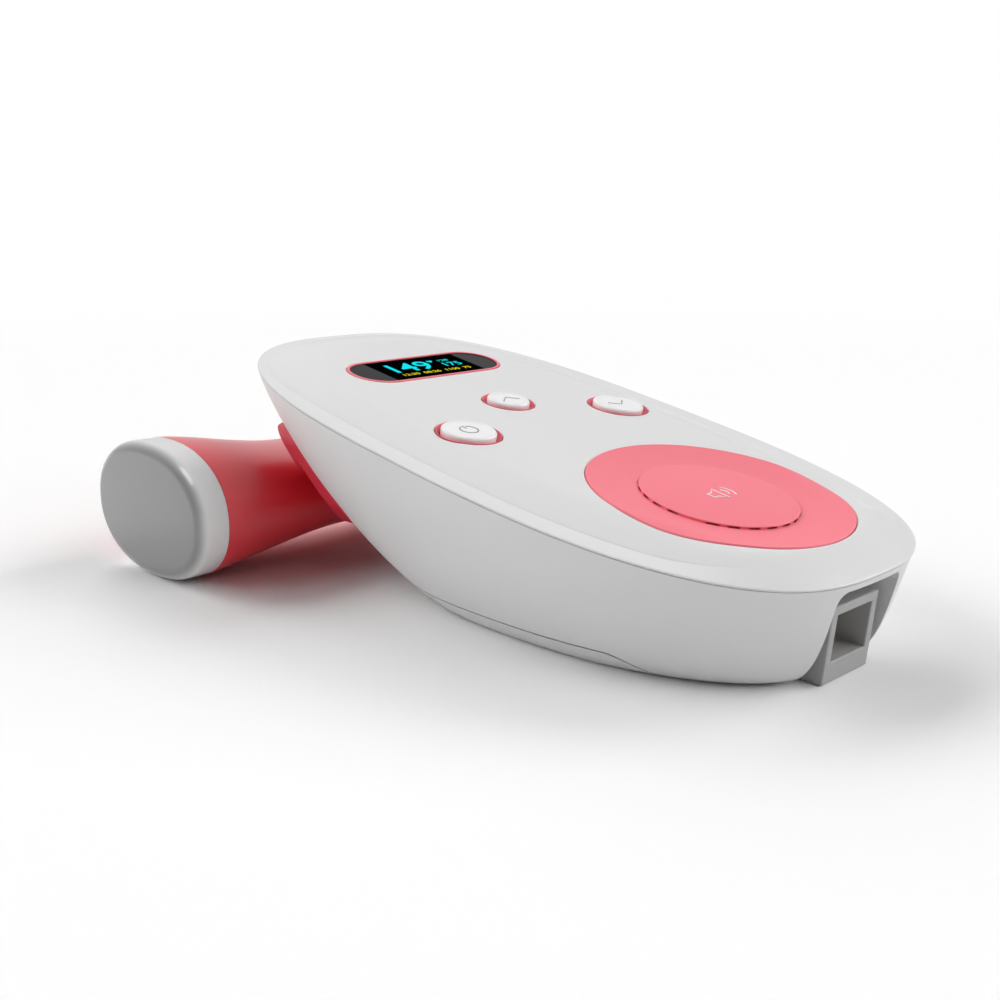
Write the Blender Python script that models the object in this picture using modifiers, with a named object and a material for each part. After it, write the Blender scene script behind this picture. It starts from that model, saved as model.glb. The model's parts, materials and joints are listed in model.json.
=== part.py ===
"""Fetal doppler with its probe lying in the cradle under the display end.

All lengths are in metres. +Z is up, +Y points to the display end (the head) and the speaker end is
the foot. The origin is on the flat belly, on the surface that the device stands on. The deck is tilted,
so its pieces hang from one empty, deck_frame, and are written in the deck's own coordinates: z = 0 is
the seam between the top cover and the bottom housing.
"""
import math

import bmesh
import bpy
from mathutils import Matrix, Vector

# Clearances
GAP = 0.0003
OVERRUN = 0.004
SHORT_OVERRUN = 0.001
BURY = 0.0005
MERGE = 0.00001

# Body outline and deck
BODY_LENGTH = 0.1396
BODY_WIDTH = 0.0776
OUTLINE_POWER = 2.72
FOOT_HEIGHT = 0.01771
DECK_TILT = math.radians(10.56)
DECK_RISE = 0.00255
COVER_WALL = 0.0018
COVER_LIP_HEIGHT = 0.0015
COVER_LIP_WALL = 0.0012
COVER_LIP_CLEARANCE = 0.0008
COVER_LIP_HEAD_INSET = 0.0032
RIM_EDGE_HEIGHT = 0.0007
RIM_EDGE_INSET = 0.00035
RIM_SHOULDER_INSET = 0.0071
RIM_SHOULDER_DROP = 0.00075
RIM_BAND_WIDTH = 0.0046
RIM_CREASE_DROP = 0.0002
RIM_CREASE_WIDTH = 0.0004
RIM_BAND_SHARES = (0.6, 0.25)

# Bottom housing
WALL = 0.0020
FLOOR_WALL = 0.0020
BELLY_LENGTH_SHARE = 0.573
BELLY_WIDTH_SHARE = 0.65
BELLY_POWER = 2.43
BELLY_CENTRE_SHARE = -0.111
SIDE_DRAW_POWER = 1.55
SIDE_DROP_POWER = 1.26
HEAD_DRAW_POWER = 1.86
HEAD_DROP_POWER = 2.08
FOOT_DRAW_POWER = 0.42
FOOT_DROP_POWER = 2.76

# Battery door, bay and cells
DOOR_WALL = 0.0015
DOOR_SEAM_HEIGHT = 0.0037
DOOR_FOOT_SETBACK = 0.0095
DOOR_TAIL_LENGTH = 0.0100
DOOR_HEAD_REACH = 0.0115
TONGUE_WIDTH = 0.0050
TONGUE_LENGTH = 0.0035
TONGUE_THICKNESS = 0.0010
TONGUE_ROOT = 0.0065
TONGUE_OFFSET_X = 0.0120
GRIP_COUNT = 5
GRIP_LENGTH = 0.0140
GRIP_WIDTH = 0.0009
GRIP_PITCH = 0.0020
GRIP_DEPTH = 0.0005
GRIP_SETBACK = 0.0080
CELL_RADIUS = 0.00725
CELL_LENGTH = 0.0505
CELL_NUB_RADIUS = 0.00275
CELL_NUB_HEIGHT = 0.0012
CELL_EDGE = 0.0007
BAY_WALL = 0.0012
BAY_FOOT_REACH = 0.0175
CONTACT_THICKNESS = 0.0004
CONTACT_WIDTH = 0.0100
CONTACT_HEIGHT = 0.0110
SPRING_ROOM = 0.0038
SPRING_TURNS = 3
SPRING_WIRE = 0.00035
SPRING_BASE_RADIUS = 0.0042
SPRING_TIP_RADIUS = 0.0026

# Foot end: the notch and the lead socket standing in it
NOTCH_WIDTH = 0.0186
NOTCH_TOP = 0.0166
NOTCH_DEPTH = 0.0145
NOTCH_RADIUS = 0.0022
NOTCH_WALL = 0.0016
NOTCH_ROOF = 0.0008
SOCKET_WIDTH = 0.0136
SOCKET_HEIGHT = 0.0133
SOCKET_SETBACK = 0.0058
SOCKET_WALL = 0.00165
SOCKET_SILL = 0.0037
SOCKET_BACK_WALL = 0.0010
SOCKET_LEAN = math.radians(6)
SOCKET_EDGE = 0.0003
SPIGOT_WIDTH = 0.0080
SPIGOT_HEIGHT = 0.0026
SPIGOT_LENGTH = 0.0030
PIN_COUNT = 4
PIN_PITCH = 0.0020
PIN_SIZE = 0.0006
PIN_LENGTH = 0.0025
PIN_BASE_WIDTH = 0.0088
PIN_BASE_HEIGHT = 0.0030
PIN_BASE_DEPTH = 0.0008

# Display, in deck coordinates
DISPLAY_Y_SHARE = 0.27
DISPLAY_HALF_STRAIGHT = 0.0124
DISPLAY_RADIUS = 0.00653
DISPLAY_RIM = 0.0006
DISPLAY_RIM_PROUD = 0.0001
DISPLAY_FLANGE = 0.0012
WINDOW_THICKNESS = 0.0015
WINDOW_SINK = 0.0001
OLED_WIDTH = 0.0267
OLED_LENGTH = 0.0193
OLED_THICKNESS = 0.0014
OLED_LEDGE = 0.0020
CARRIER_WALL = 0.0012

# Keys and their rings, in deck coordinates
SIDE_KEY_X_SHARE = 0.2655
SIDE_KEY_Y_SHARE = 0.0158
MIDDLE_KEY_Y_SHARE = 0.0931
SIDE_RING_RADIUS = 0.0064
MIDDLE_RING_RADIUS = 0.0055
RING_WIDTH = 0.0007
RING_PROUD = 0.0001
FLANGE_WIDTH = 0.0012
FLANGE_THICKNESS = 0.0006
KEY_PROUD = 0.0013
KEY_DOME = 0.0003
KEY_DOME_SHARE = 0.5
KEY_EDGE = 0.0005
KEY_STEM_RADIUS = 0.0020
KEY_STEM_LENGTH = 0.0009
KEY_TRAVEL = 0.0006
PLUNGER_RADIUS = 0.0016
PLUNGER_LENGTH = 0.0016
SWITCH_SIZE = 0.0060
SWITCH_HEIGHT = 0.0024
SWITCH_TOP = 0.0032

# Speaker, in deck coordinates
SPEAKER_Y_SHARE = -0.2765
PANEL_RADIUS = 0.0235
PANEL_THICKNESS = 0.0016
PANEL_PROUD = 0.0001
PANEL_CUP_RADIUS = 0.0168
PANEL_CUP_WALL = 0.0010
PANEL_CUP_DEPTH = 0.0020
DISH_DEPTH = 0.0010
DISC_RADIUS = 0.0138
DISC_RISE = 0.00045
DISC_STEP = 0.0004
SLOT_PLACES = 25
SLOT_BLANKS = (5, 20)
SLOT_LENGTH = 0.0020
SLOT_WIDTH = 0.0006
SPEAKER_RADIUS = 0.0160
SPEAKER_FLANGE_WIDTH = 0.0028
SPEAKER_FLANGE_THICKNESS = 0.0008
SPEAKER_BACK_RADIUS = 0.0080
SPEAKER_BASKET_WALL = 0.0006
SPEAKER_DEPTH = 0.0033
GASKET_THICKNESS = 0.0006
GASKET_WIDTH = 0.0022
MAGNET_RADIUS = 0.0065
MAGNET_THICKNESS = 0.0013
MAGNET_EDGE = 0.0002
CONE_THICKNESS = 0.0005
CONE_DEPTH = 0.0012
DUST_CAP_RADIUS = 0.0045

# Main board and the screws that close the body, in deck coordinates
BOARD_SIDE_MARGIN = 0.0070
BOARD_LENGTH_SHARE = 0.43
BOARD_Y_SHARE = 0.129
BOARD_THICKNESS = 0.0016
BOARD_CORNER = 0.0060
STANDOFF_RADIUS = 0.0020
STANDOFF_EDGE = 0.0027
STANDOFF_HEAD_Y_SHARE = 0.1934
STANDOFF_FOOT_Y_SHARE = -0.0573
SCREW_X = 0.0190
SCREW_HEAD_Y_SHARE = 0.0946
SCREW_FOOT_Y_SHARE = -0.1258
SCREW_SEAT_HEIGHT = 0.0070
SCREW_RADIUS = 0.0012
SCREW_HEAD_RADIUS = 0.0021
SCREW_HEAD_THICKNESS = 0.0014
SCREW_SOCKET_RADIUS = 0.0009
SCREW_SOCKET_DEPTH = 0.0007
SCREW_GRIP = 0.0050
POST_RADIUS = 0.0037
BOSS_RADIUS = 0.0030
BOSS_DEPTH = 0.0095
BOSS_BORE_TOP_SHARE = 0.25

# Cradle under the head
CRADLE_WIDTH_SHARE = 0.8
CRADLE_LOW = 0.0125
CRADLE_HIGH = 0.0312
CRADLE_CORNER = 0.0060
CRADLE_SEAT = 0.0008
CRADLE_STAND = 0.0016
DOCK_MAGNET_RADIUS = 0.0040
DOCK_MAGNET_THICKNESS = 0.0020
DOCK_MAGNET_ANGLE = math.radians(24)
DOCK_MAGNET_TURN = math.radians(60)
SLOPE_STEP = math.radians(1)

# Probe, lying along X
PROBE_STANDOFF = 0.01322
PROBE_Z = 0.01373
PROBE_LENGTH = 0.1054
PROBE_HALF_DEPTH = 0.0202
PROBE_HALF_HEIGHT = 0.01373
PROBE_POWER = 2.2
WAIST_HALF_LENGTH = 0.0120
WAIST_HALF_DEPTH = 0.0190
WAIST_HALF_HEIGHT = 0.0089
WAIST_POWER = 1.4
PROBE_WALL = 0.0020
CAP_LENGTH = 0.0065
CAP_EDGE = 0.0022
CAP_WALL = 0.0015
CAP_LIP = 0.0030
PIEZO_RADIUS = 0.0090
PIEZO_THICKNESS = 0.0010
PIEZO_SPACING = 0.0008
BACKING_RADIUS = 0.0095
BACKING_THICKNESS = 0.0035
PROBE_BOARD_LENGTH = 0.0660
PROBE_BOARD_WIDTH = 0.0220
PROBE_BOARD_THICKNESS = 0.0012
KEEPER_LENGTH = 0.0300
KEEPER_HEIGHT = 0.0036
KEEPER_THICKNESS = 0.0012
INLET_RADIUS = 0.0042
INLET_BORE = 0.0020
INLET_FLANGE = 0.0012
INLET_FLANGE_THICKNESS = 0.0010
INLET_LENGTH = 0.0060

# Numbers of facets
RIM_POINTS = 48
HULL_TURNS = 10
LINER_TURNS = 4
TAIL_STEPS = 6
CORNER_STEPS = 4
FACE_STEPS = 32
DISC_EDGE_STEPS = 4
KEY_STEPS = 18
KEY_EDGE_STEPS = 2
INNER_STEPS = 16
SCREW_STEPS = 10
PILL_STEPS = 6
PROBE_POINTS = 24
PROBE_STATIONS = 11
CAP_EDGE_STEPS = 3
SPRING_POINTS = 7

MATERIALS = {
    "cover_white": ((0.86, 0.86, 0.86, 1), 0.38, 0),
    "housing_white": ((0.74, 0.74, 0.75, 1), 0.42, 0),
    "key_white": ((0.93, 0.93, 0.93, 1), 0.22, 0),
    "coral": ((0.90, 0.25, 0.28, 1), 0.40, 0),
    "handle_coral": ((0.78, 0.12, 0.16, 1), 0.34, 0),
    "smoked_window": ((0.02, 0.02, 0.025, 1), 0.08, 0),
    "oled_glass": ((0.01, 0.01, 0.012, 1), 0.15, 0),
    "black_plastic": ((0.04, 0.04, 0.04, 1), 0.50, 0),
    "board_green": ((0.03, 0.22, 0.10, 1), 0.45, 0),
    "steel": ((0.60, 0.60, 0.62, 1), 0.30, 1),
    "magnet_metal": ((0.45, 0.45, 0.47, 1), 0.28, 1),
    "foam": ((0.08, 0.08, 0.08, 1), 0.95, 0),
    "cone_paper": ((0.10, 0.10, 0.11, 1), 0.80, 0),
    "cell_wrap": ((0.16, 0.17, 0.20, 1), 0.35, 0),
    "brass": ((0.75, 0.55, 0.25, 1), 0.30, 1),
    "piezo_ceramic": ((0.80, 0.76, 0.66, 1), 0.50, 0),
    "cork": ((0.50, 0.34, 0.20, 1), 0.90, 0),
    "rubber_grey": ((0.25, 0.25, 0.26, 1), 0.70, 0),
}


def clear_scene():
    for old in list(bpy.data.objects):
        bpy.data.objects.remove(old, do_unlink=True)


def make_collection(name):
    group = bpy.data.collections.new(name)
    bpy.context.scene.collection.children.link(group)
    return group


def material(name):
    """Principled material of one of the named finishes, made once."""
    found = bpy.data.materials.get(name)
    if found:
        return found
    colour, roughness, metallic = MATERIALS[name]
    made = bpy.data.materials.new(name)
    made.use_nodes = True
    shader = made.node_tree.nodes["Principled BSDF"]
    shader.inputs["Base Color"].default_value = colour
    shader.inputs["Roughness"].default_value = roughness
    shader.inputs["Metallic"].default_value = metallic
    made.diffuse_color = colour
    return made


def place(name, data, finish, frame=None, at=(0, 0, 0)):
    """Object in the part's collection, or a cutter when it has no finish."""
    piece = bpy.data.objects.new(name, data)
    piece.location = at
    piece.parent = frame
    if finish is None:
        CUTTERS.objects.link(piece)
        piece.hide_render = True
        piece.display_type = "WIRE"
    else:
        PARTS.objects.link(piece)
        data.materials.append(material(finish))
    return piece


def make_frame(name, location, tilt=0.0, parent=None):
    frame = bpy.data.objects.new(name, None)
    frame.location = location
    frame.rotation_euler.x = tilt
    frame.parent = parent
    frame.empty_display_size = BODY_WIDTH
    PARTS.objects.link(frame)
    return frame


def round_off(mesh, sharp_degrees=35):
    mesh.shade_smooth()
    mesh.set_sharp_from_angle(angle=math.radians(sharp_degrees))
    return mesh


def finish_bmesh(name, shape):
    bmesh.ops.recalc_face_normals(shape, faces=shape.faces)
    mesh = bpy.data.meshes.new(name)
    shape.to_mesh(mesh)
    shape.free()
    return round_off(mesh)


def loft(name, rings, closed=False):
    """Skin over rings of equal point counts; capped at both ends, or closed into a loop of rings."""
    shape = bmesh.new()
    rows = [[shape.verts.new(point) for point in ring] for ring in rings]
    pairs = list(zip(rows, rows[1:]))
    if closed:
        pairs.append((rows[-1], rows[0]))
    for lower, upper in pairs:
        for k in range(len(lower)):
            shape.faces.new((lower[k - 1], lower[k], upper[k], upper[k - 1]))
    if not closed:
        shape.faces.new(rows[0])
        shape.faces.new(rows[-1])
    return finish_bmesh(name, shape)


def extruded(name, outline, low, high, axis="Z"):
    """Flat outline made solid between two heights along an axis."""
    shape = bmesh.new()
    corners = []
    for first, second in outline:
        spots = {"Z": (first, second, low), "X": (low, first, second), "Y": (first, low, second)}
        corners.append(shape.verts.new(spots[axis]))
    face = shape.faces.new(corners)
    grown = bmesh.ops.extrude_face_region(shape, geom=[face])
    moved = [item for item in grown["geom"] if isinstance(item, bmesh.types.BMVert)]
    run = high - low
    shift = {"Z": (0, 0, run), "X": (run, 0, 0), "Y": (0, run, 0)}[axis]
    bmesh.ops.translate(shape, vec=shift, verts=moved)
    return finish_bmesh(name, shape)


def block(name, low, high):
    """Box between two corners."""
    shape = bmesh.new()
    low, high = Vector(low), Vector(high)
    spread = Matrix.Diagonal((high - low).to_4d())
    spread[3][3] = 1
    bmesh.ops.create_cube(shape, size=1, matrix=Matrix.Translation((low + high) / 2) @ spread)
    return finish_bmesh(name, shape)


def turned(name, profile, finish, frame=None, at=(0, 0, 0), steps=INNER_STEPS, ring=False, turn=None):
    """Solid of revolution: the profile's (radius, height) points run down the outer side."""
    mesh = bpy.data.meshes.new(name)
    edges = [(k, k + 1) for k in range(len(profile) - 1)]
    if ring:
        edges.append((len(profile) - 1, 0))
    mesh.from_pydata([(radius, 0, height) for radius, height in profile], edges, [])
    piece = place(name, mesh, finish, frame, at)
    if turn is not None:
        piece.rotation_euler = turn
    screw = piece.modifiers.new("turned", "SCREW")
    screw.axis = "Z"
    screw.steps = steps
    screw.render_steps = steps
    screw.use_merge_vertices = True
    screw.merge_threshold = MERGE
    screw.use_smooth_shade = True
    return piece


def rod_profile(radius, low, high):
    return [(0, high), (radius, high), (radius, low), (0, low)]


def combine(piece, tool, operation):
    step = piece.modifiers.new(operation.lower() + "_" + tool.name, "BOOLEAN")
    step.solver = "EXACT"
    step.operation = operation
    step.object = tool


def soften(piece, width, segments=2):
    bevel = piece.modifiers.new("soft_edges", "BEVEL")
    bevel.width = width
    bevel.segments = segments
    bevel.limit_method = "ANGLE"


def oval_point(angle, half_width, half_length, power):
    """Point of a superellipse; angle 0 is the head end, a quarter turn is the +X side."""
    across, along = math.sin(angle), math.cos(angle)
    x = half_width * math.copysign(abs(across) ** (2 / power), across)
    y = half_length * math.copysign(abs(along) ** (2 / power), along)
    return x, y


def head_share(angle):
    return max(math.cos(angle), 0) ** 2


def foot_share(angle):
    return max(-math.cos(angle), 0) ** 2


def rim_ring(inset, height, head_inset=0.0):
    """Body outline, drawn in by an inset and by one more at the head, at a height in deck coordinates."""
    ring = []
    for k in range(RIM_POINTS):
        angle = math.tau * k / RIM_POINTS
        drawn = inset + head_inset * head_share(angle)
        x, y = oval_point(angle, BODY_WIDTH / 2 - drawn, BODY_LENGTH / 2 - drawn, OUTLINE_POWER)
        ring.append((x, y, height))
    return ring


def along(share):
    """Place or length along the body that keeps its share of the body's length."""
    return BODY_LENGTH * share


def deck_height():
    """Height of the seam over the origin: the foot end keeps its own height."""
    return FOOT_HEIGHT + BODY_LENGTH / 2 * math.sin(DECK_TILT)


def deck_matrix():
    return Matrix.Translation((0, 0, deck_height())) @ Matrix.Rotation(DECK_TILT, 4, "X")


def deck_height_at(world_height, y):
    """Deck coordinate z of the point of a deck-normal line through y that has this world height."""
    return (world_height - deck_height() - y * math.sin(DECK_TILT)) / math.cos(DECK_TILT)


def belly_length():
    return along(BELLY_LENGTH_SHARE)


def belly_centre_y():
    return along(BELLY_CENTRE_SHARE)


def belly_head_y():
    return belly_centre_y() + belly_length() / 2


def door_foot_y():
    return belly_centre_y() - belly_length() / 2 + DOOR_FOOT_SETBACK


def door_head_y():
    return belly_head_y() + DOOR_HEAD_REACH


def bay_foot_y():
    return belly_centre_y() - BAY_FOOT_REACH


def notch_back_y():
    return NOTCH_DEPTH - BODY_LENGTH / 2


def socket_front_y():
    return SOCKET_SETBACK - BODY_LENGTH / 2


def display_y():
    return along(DISPLAY_Y_SHARE)


def probe_y():
    """The probe lies a named distance before the head's underside, at the height of its waist's top."""
    seam = hull_point(0, 0, 0, 0).z
    down = 1 - (PROBE_Z + WAIST_HALF_HEIGHT) / seam
    turn = math.asin(down ** (1 / HEAD_DROP_POWER))
    return hull_point(0, turn, 0, 0).y + PROBE_STANDOFF


def hull_point(angle, turn, inset, floor):
    """Point of the bottom housing's wall: turn 0 is the seam, a quarter turn is the flat belly."""
    rim_x, rim_y = oval_point(angle, BODY_WIDTH / 2 - inset, BODY_LENGTH / 2 - inset, OUTLINE_POWER)
    rim = deck_matrix() @ Vector((rim_x, rim_y, -GAP / 2))
    belly_width = BODY_WIDTH * BELLY_WIDTH_SHARE
    belly_x, belly_y = oval_point(angle, belly_width / 2 - inset, belly_length() / 2 - inset, BELLY_POWER)
    head, foot = head_share(angle), foot_share(angle)
    side = 1 - head - foot
    draw = side * SIDE_DRAW_POWER + head * HEAD_DRAW_POWER + foot * FOOT_DRAW_POWER
    drop = side * SIDE_DROP_POWER + head * HEAD_DROP_POWER + foot * FOOT_DROP_POWER
    inward = 1 - max(math.cos(turn), 0) ** draw
    down = math.sin(turn) ** drop
    x = rim.x + (belly_x - rim.x) * inward
    y = rim.y + (belly_y + belly_centre_y() - rim.y) * inward
    z = rim.z + (floor - rim.z) * down
    return Vector((x, y, z))


def hull_rings(inset, floor, turns):
    rings = []
    for step in range(turns + 1):
        turn = math.pi / 2 * step / turns
        rings.append([hull_point(math.tau * k / RIM_POINTS, turn, inset, floor) for k in range(RIM_POINTS)])
    return rings


def hull_solid(name, inset, finish=None, turns=HULL_TURNS):
    """Whole body under the seam as one closed solid, drawn in by an inset."""
    return place(name, loft(name, hull_rings(inset, inset, turns)), finish)


def pill_outline(half_straight, radius, centre_y):
    outline = []
    for side in (1, -1):
        for k in range(PILL_STEPS + 1):
            angle = math.pi * k / PILL_STEPS - math.pi / 2
            x = side * (half_straight + radius * math.cos(angle))
            outline.append((x, centre_y + side * radius * math.sin(angle)))
    return outline


def rounded_outline(half_width, low, high, radius):
    """Rounded rectangle, centred on the first axis and running from low to high on the second."""
    outline = []
    corners = ((half_width, high, 0), (-half_width, high, 1), (-half_width, low, 2), (half_width, low, 3))
    for first, second, quarter in corners:
        centre_first = first - math.copysign(radius, first)
        centre_second = second - radius if quarter < 2 else second + radius
        for k in range(CORNER_STEPS + 1):
            angle = math.pi / 2 * (quarter + k / CORNER_STEPS)
            outline.append((centre_first + radius * math.cos(angle),
                            centre_second + radius * math.sin(angle)))
    return outline


def screw_spots():
    """Deck x and y of the four screws that close the body."""
    shares = (SCREW_HEAD_Y_SHARE, SCREW_FOOT_Y_SHARE)
    return [(side * SCREW_X, along(share)) for share in shares for side in (-1, 1)]


def key_spots():
    """Name, deck x, deck y and ring radius of each key."""
    side_x = BODY_WIDTH * SIDE_KEY_X_SHARE
    return [
        ("power", -side_x, along(SIDE_KEY_Y_SHARE), SIDE_RING_RADIUS),
        ("up", 0, along(MIDDLE_KEY_Y_SHARE), MIDDLE_RING_RADIUS),
        ("down", side_x, along(SIDE_KEY_Y_SHARE), SIDE_RING_RADIUS),
    ]


def ceiling():
    """Underside of the top cover, in deck coordinates."""
    return DECK_RISE - COVER_WALL


def make_top_cover(deck):
    seam = GAP / 2
    lip_outer = WALL + COVER_LIP_CLEARANCE
    lip_inner = lip_outer + COVER_LIP_WALL
    crease = RIM_BAND_WIDTH
    lip_height = DECK_RISE - RIM_SHOULDER_DROP
    rings = [
        rim_ring(RIM_SHOULDER_INSET, DECK_RISE),
        rim_ring(crease + RIM_CREASE_WIDTH, lip_height),
        rim_ring(crease, lip_height - RIM_CREASE_DROP),
    ]
    band_drop = lip_height - RIM_CREASE_DROP - RIM_EDGE_HEIGHT
    for share in RIM_BAND_SHARES:
        inset = RIM_EDGE_INSET + (crease - RIM_EDGE_INSET) * share
        rings.append(rim_ring(inset, RIM_EDGE_HEIGHT + band_drop * math.sin(share * math.pi / 2)))
    rings += [
        rim_ring(RIM_EDGE_INSET, RIM_EDGE_HEIGHT),
        rim_ring(0, seam),
        rim_ring(lip_outer, seam, COVER_LIP_HEAD_INSET),
        rim_ring(lip_outer, -COVER_LIP_HEIGHT, COVER_LIP_HEAD_INSET),
        rim_ring(lip_inner, -COVER_LIP_HEIGHT, COVER_LIP_HEAD_INSET),
        rim_ring(lip_inner, ceiling(), COVER_LIP_HEAD_INSET),
    ]
    cover = place("top_cover", loft("top_cover", rings), "cover_white", deck)
    cut_lip_at_notch(cover, deck)
    add_cover_posts(cover, deck)
    cut_cover_openings(cover, deck)


def add_cover_posts(cover, deck):
    top = ceiling() + BURY
    bore = SCREW_RADIUS + GAP
    bore_top = -BOSS_DEPTH * BOSS_BORE_TOP_SHARE
    profile = [(0, top), (BOSS_RADIUS, top), (BOSS_RADIUS, -BOSS_DEPTH), (bore, -BOSS_DEPTH),
               (bore, bore_top), (0, bore_top)]
    for number, (x, y) in enumerate(screw_spots(), 1):
        boss = turned(f"boss_{number}", profile, None, deck, (x, y, 0), SCREW_STEPS)
        combine(cover, boss, "UNION")
    away = board_half_width() - STANDOFF_EDGE
    shares = (STANDOFF_HEAD_Y_SHARE, STANDOFF_FOOT_Y_SHARE)
    spots = [(side * away, along(share)) for share in shares for side in (-1, 1)]
    for number, (x, y) in enumerate(spots, 1):
        standoff = turned(f"standoff_{number}", rod_profile(STANDOFF_RADIUS, board_top() + GAP, top), None,
                          deck, (x, y, 0), SCREW_STEPS)
        combine(cover, standoff, "UNION")


def cut_lip_at_notch(cover, deck):
    half = NOTCH_WIDTH / 2 + NOTCH_WALL + GAP
    gap = block("lip_gap", (-half, -BODY_LENGTH, -COVER_LIP_HEIGHT - OVERRUN),
                (half, notch_back_y(), GAP / 2))
    combine(cover, place("lip_gap", gap, None, deck), "DIFFERENCE")


def cut_cover_openings(cover, deck):
    low = ceiling() - SHORT_OVERRUN
    high = DECK_RISE + OVERRUN
    opening = turned("speaker_opening", rod_profile(PANEL_RADIUS + GAP, low, high), None, deck,
                     (0, along(SPEAKER_Y_SHARE), 0), FACE_STEPS)
    combine(cover, opening, "DIFFERENCE")
    for name, x, y, radius in key_spots():
        hole = turned(f"{name}_opening", rod_profile(radius + GAP, low, high), None, deck, (x, y, 0),
                      KEY_STEPS)
        combine(cover, hole, "DIFFERENCE")
    outline = pill_outline(DISPLAY_HALF_STRAIGHT, DISPLAY_RADIUS + GAP, display_y())
    slot = place("display_opening", extruded("display_opening", outline, low, high), None, deck)
    combine(cover, slot, "DIFFERENCE")


def make_bottom_housing(deck):
    """Boat-shaped shell with the battery bay, screw posts, foot notch and cradle recess."""
    outer = hull_rings(0, 0, HULL_TURNS)
    inner = hull_rings(WALL, floor_top(), LINER_TURNS)
    shell = list(reversed(inner)) + outer
    housing = place("bottom_housing", loft("bottom_housing", shell), "housing_white")
    trim = hull_solid("inner_trim", WALL / 2)
    add_screw_posts(housing, deck, trim)
    add_notch(housing, trim)
    cut_door_recess(housing)
    add_battery_bay(housing)
    cut_cradle_recess(housing)


def floor_top():
    """Inside of the housing's floor, which lies over the whole battery door."""
    return DOOR_SEAM_HEIGHT + GAP + FLOOR_WALL


def bay_half_width():
    return 2 * CELL_RADIUS + 2 * GAP


def bay_head_y():
    return bay_foot_y() + 2 * CONTACT_THICKNESS + CELL_LENGTH + SPRING_ROOM + 2 * GAP


def cell_bottom():
    return DOOR_WALL + GAP


def bay_top():
    return cell_bottom() + 2 * CELL_RADIUS + GAP


def add_battery_bay(housing):
    half = bay_half_width()
    well = block("bay_walls",
                 (-half - BAY_WALL, bay_foot_y() - BAY_WALL, cell_bottom()),
                 (half + BAY_WALL, bay_head_y() + BAY_WALL, bay_top() + BAY_WALL))
    walls = place("bay_walls", well, None)
    combine(walls, hull_solid("bay_trim", cell_bottom()), "INTERSECT")
    combine(housing, walls, "UNION")
    hollow = block("bay_hollow", (-half, bay_foot_y(), -OVERRUN), (half, bay_head_y(), bay_top()))
    combine(housing, place("bay_hollow", hollow, None), "DIFFERENCE")


def add_screw_posts(housing, deck, trim):
    for number, (x, y) in enumerate(screw_spots(), 1):
        seat = deck_height_at(SCREW_SEAT_HEIGHT, y)
        foot = deck_height_at(floor_top(), y) - BURY
        top = -BOSS_DEPTH - GAP
        post = turned(f"post_{number}", rod_profile(POST_RADIUS, foot, top), None, deck, (x, y, 0),
                      SCREW_STEPS)
        combine(post, trim, "INTERSECT")
        combine(housing, post, "UNION")
        bore = turned(f"post_bore_{number}", screw_bore_profile(seat, foot, top), None, deck, (x, y, 0),
                      SCREW_STEPS)
        combine(housing, bore, "DIFFERENCE")


def screw_bore_profile(seat, foot, top):
    bore = SCREW_RADIUS + GAP
    counterbore = SCREW_HEAD_RADIUS + GAP
    above = top + OVERRUN
    below = foot - 2 * OVERRUN
    return [(0, above), (bore, above), (bore, seat), (counterbore, seat), (counterbore, below), (0, below)]


def door_region(name, clearance):
    """Prism across the body that holds everything under the door's seam, with the S-shaped tail."""
    seam = DOOR_SEAM_HEIGHT + clearance
    foot = door_foot_y() - clearance
    outline = [(door_head_y(), -OVERRUN), (door_head_y(), seam)]
    for k in range(TAIL_STEPS + 1):
        share = k / TAIL_STEPS
        height = seam * (1 + math.cos(math.pi * share)) / 2
        outline.append((foot + DOOR_TAIL_LENGTH * (1 - share), height))
    outline.append((foot, -OVERRUN))
    return place(name, extruded(name, outline, -BODY_WIDTH, BODY_WIDTH, "X"), None)


def cut_door_recess(housing):
    combine(housing, door_region("door_recess", GAP), "DIFFERENCE")
    for number, side in enumerate((-1, 1), 1):
        centre = side * TONGUE_OFFSET_X
        half = TONGUE_WIDTH / 2 + GAP
        pocket = block(f"tongue_pocket_{number}",
                       (centre - half, door_foot_y() - TONGUE_LENGTH - GAP, DOOR_WALL - BURY / 2 - GAP),
                       (centre + half, door_foot_y() + DOOR_TAIL_LENGTH,
                        DOOR_WALL + TONGUE_THICKNESS + GAP))
        combine(housing, place(f"tongue_pocket_{number}", pocket, None), "DIFFERENCE")


def make_battery_door():
    """Belly cover that wraps a little up the sides and slides off towards the head."""
    door = hull_solid("battery_door", 0, "housing_white")
    combine(door, door_region("door_blank", 0), "INTERSECT")
    combine(door, hull_solid("door_core", DOOR_WALL), "DIFFERENCE")
    for number, side in enumerate((-1, 1), 1):
        centre = side * TONGUE_OFFSET_X
        half = TONGUE_WIDTH / 2
        tongue = block(f"tongue_{number}",
                       (centre - half, door_foot_y() - TONGUE_LENGTH, DOOR_WALL - BURY / 2),
                       (centre + half, door_foot_y() + TONGUE_ROOT, DOOR_WALL + TONGUE_THICKNESS))
        combine(door, place(f"tongue_{number}", tongue, None), "UNION")
    for number in range(GRIP_COUNT):
        y = door_foot_y() + GRIP_SETBACK + number * GRIP_PITCH
        groove = block(f"grip_groove_{number + 1}", (-GRIP_LENGTH / 2, y, -OVERRUN),
                       (GRIP_LENGTH / 2, y + GRIP_WIDTH, GRIP_DEPTH))
        combine(door, place(f"grip_groove_{number + 1}", groove, None), "DIFFERENCE")


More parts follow.
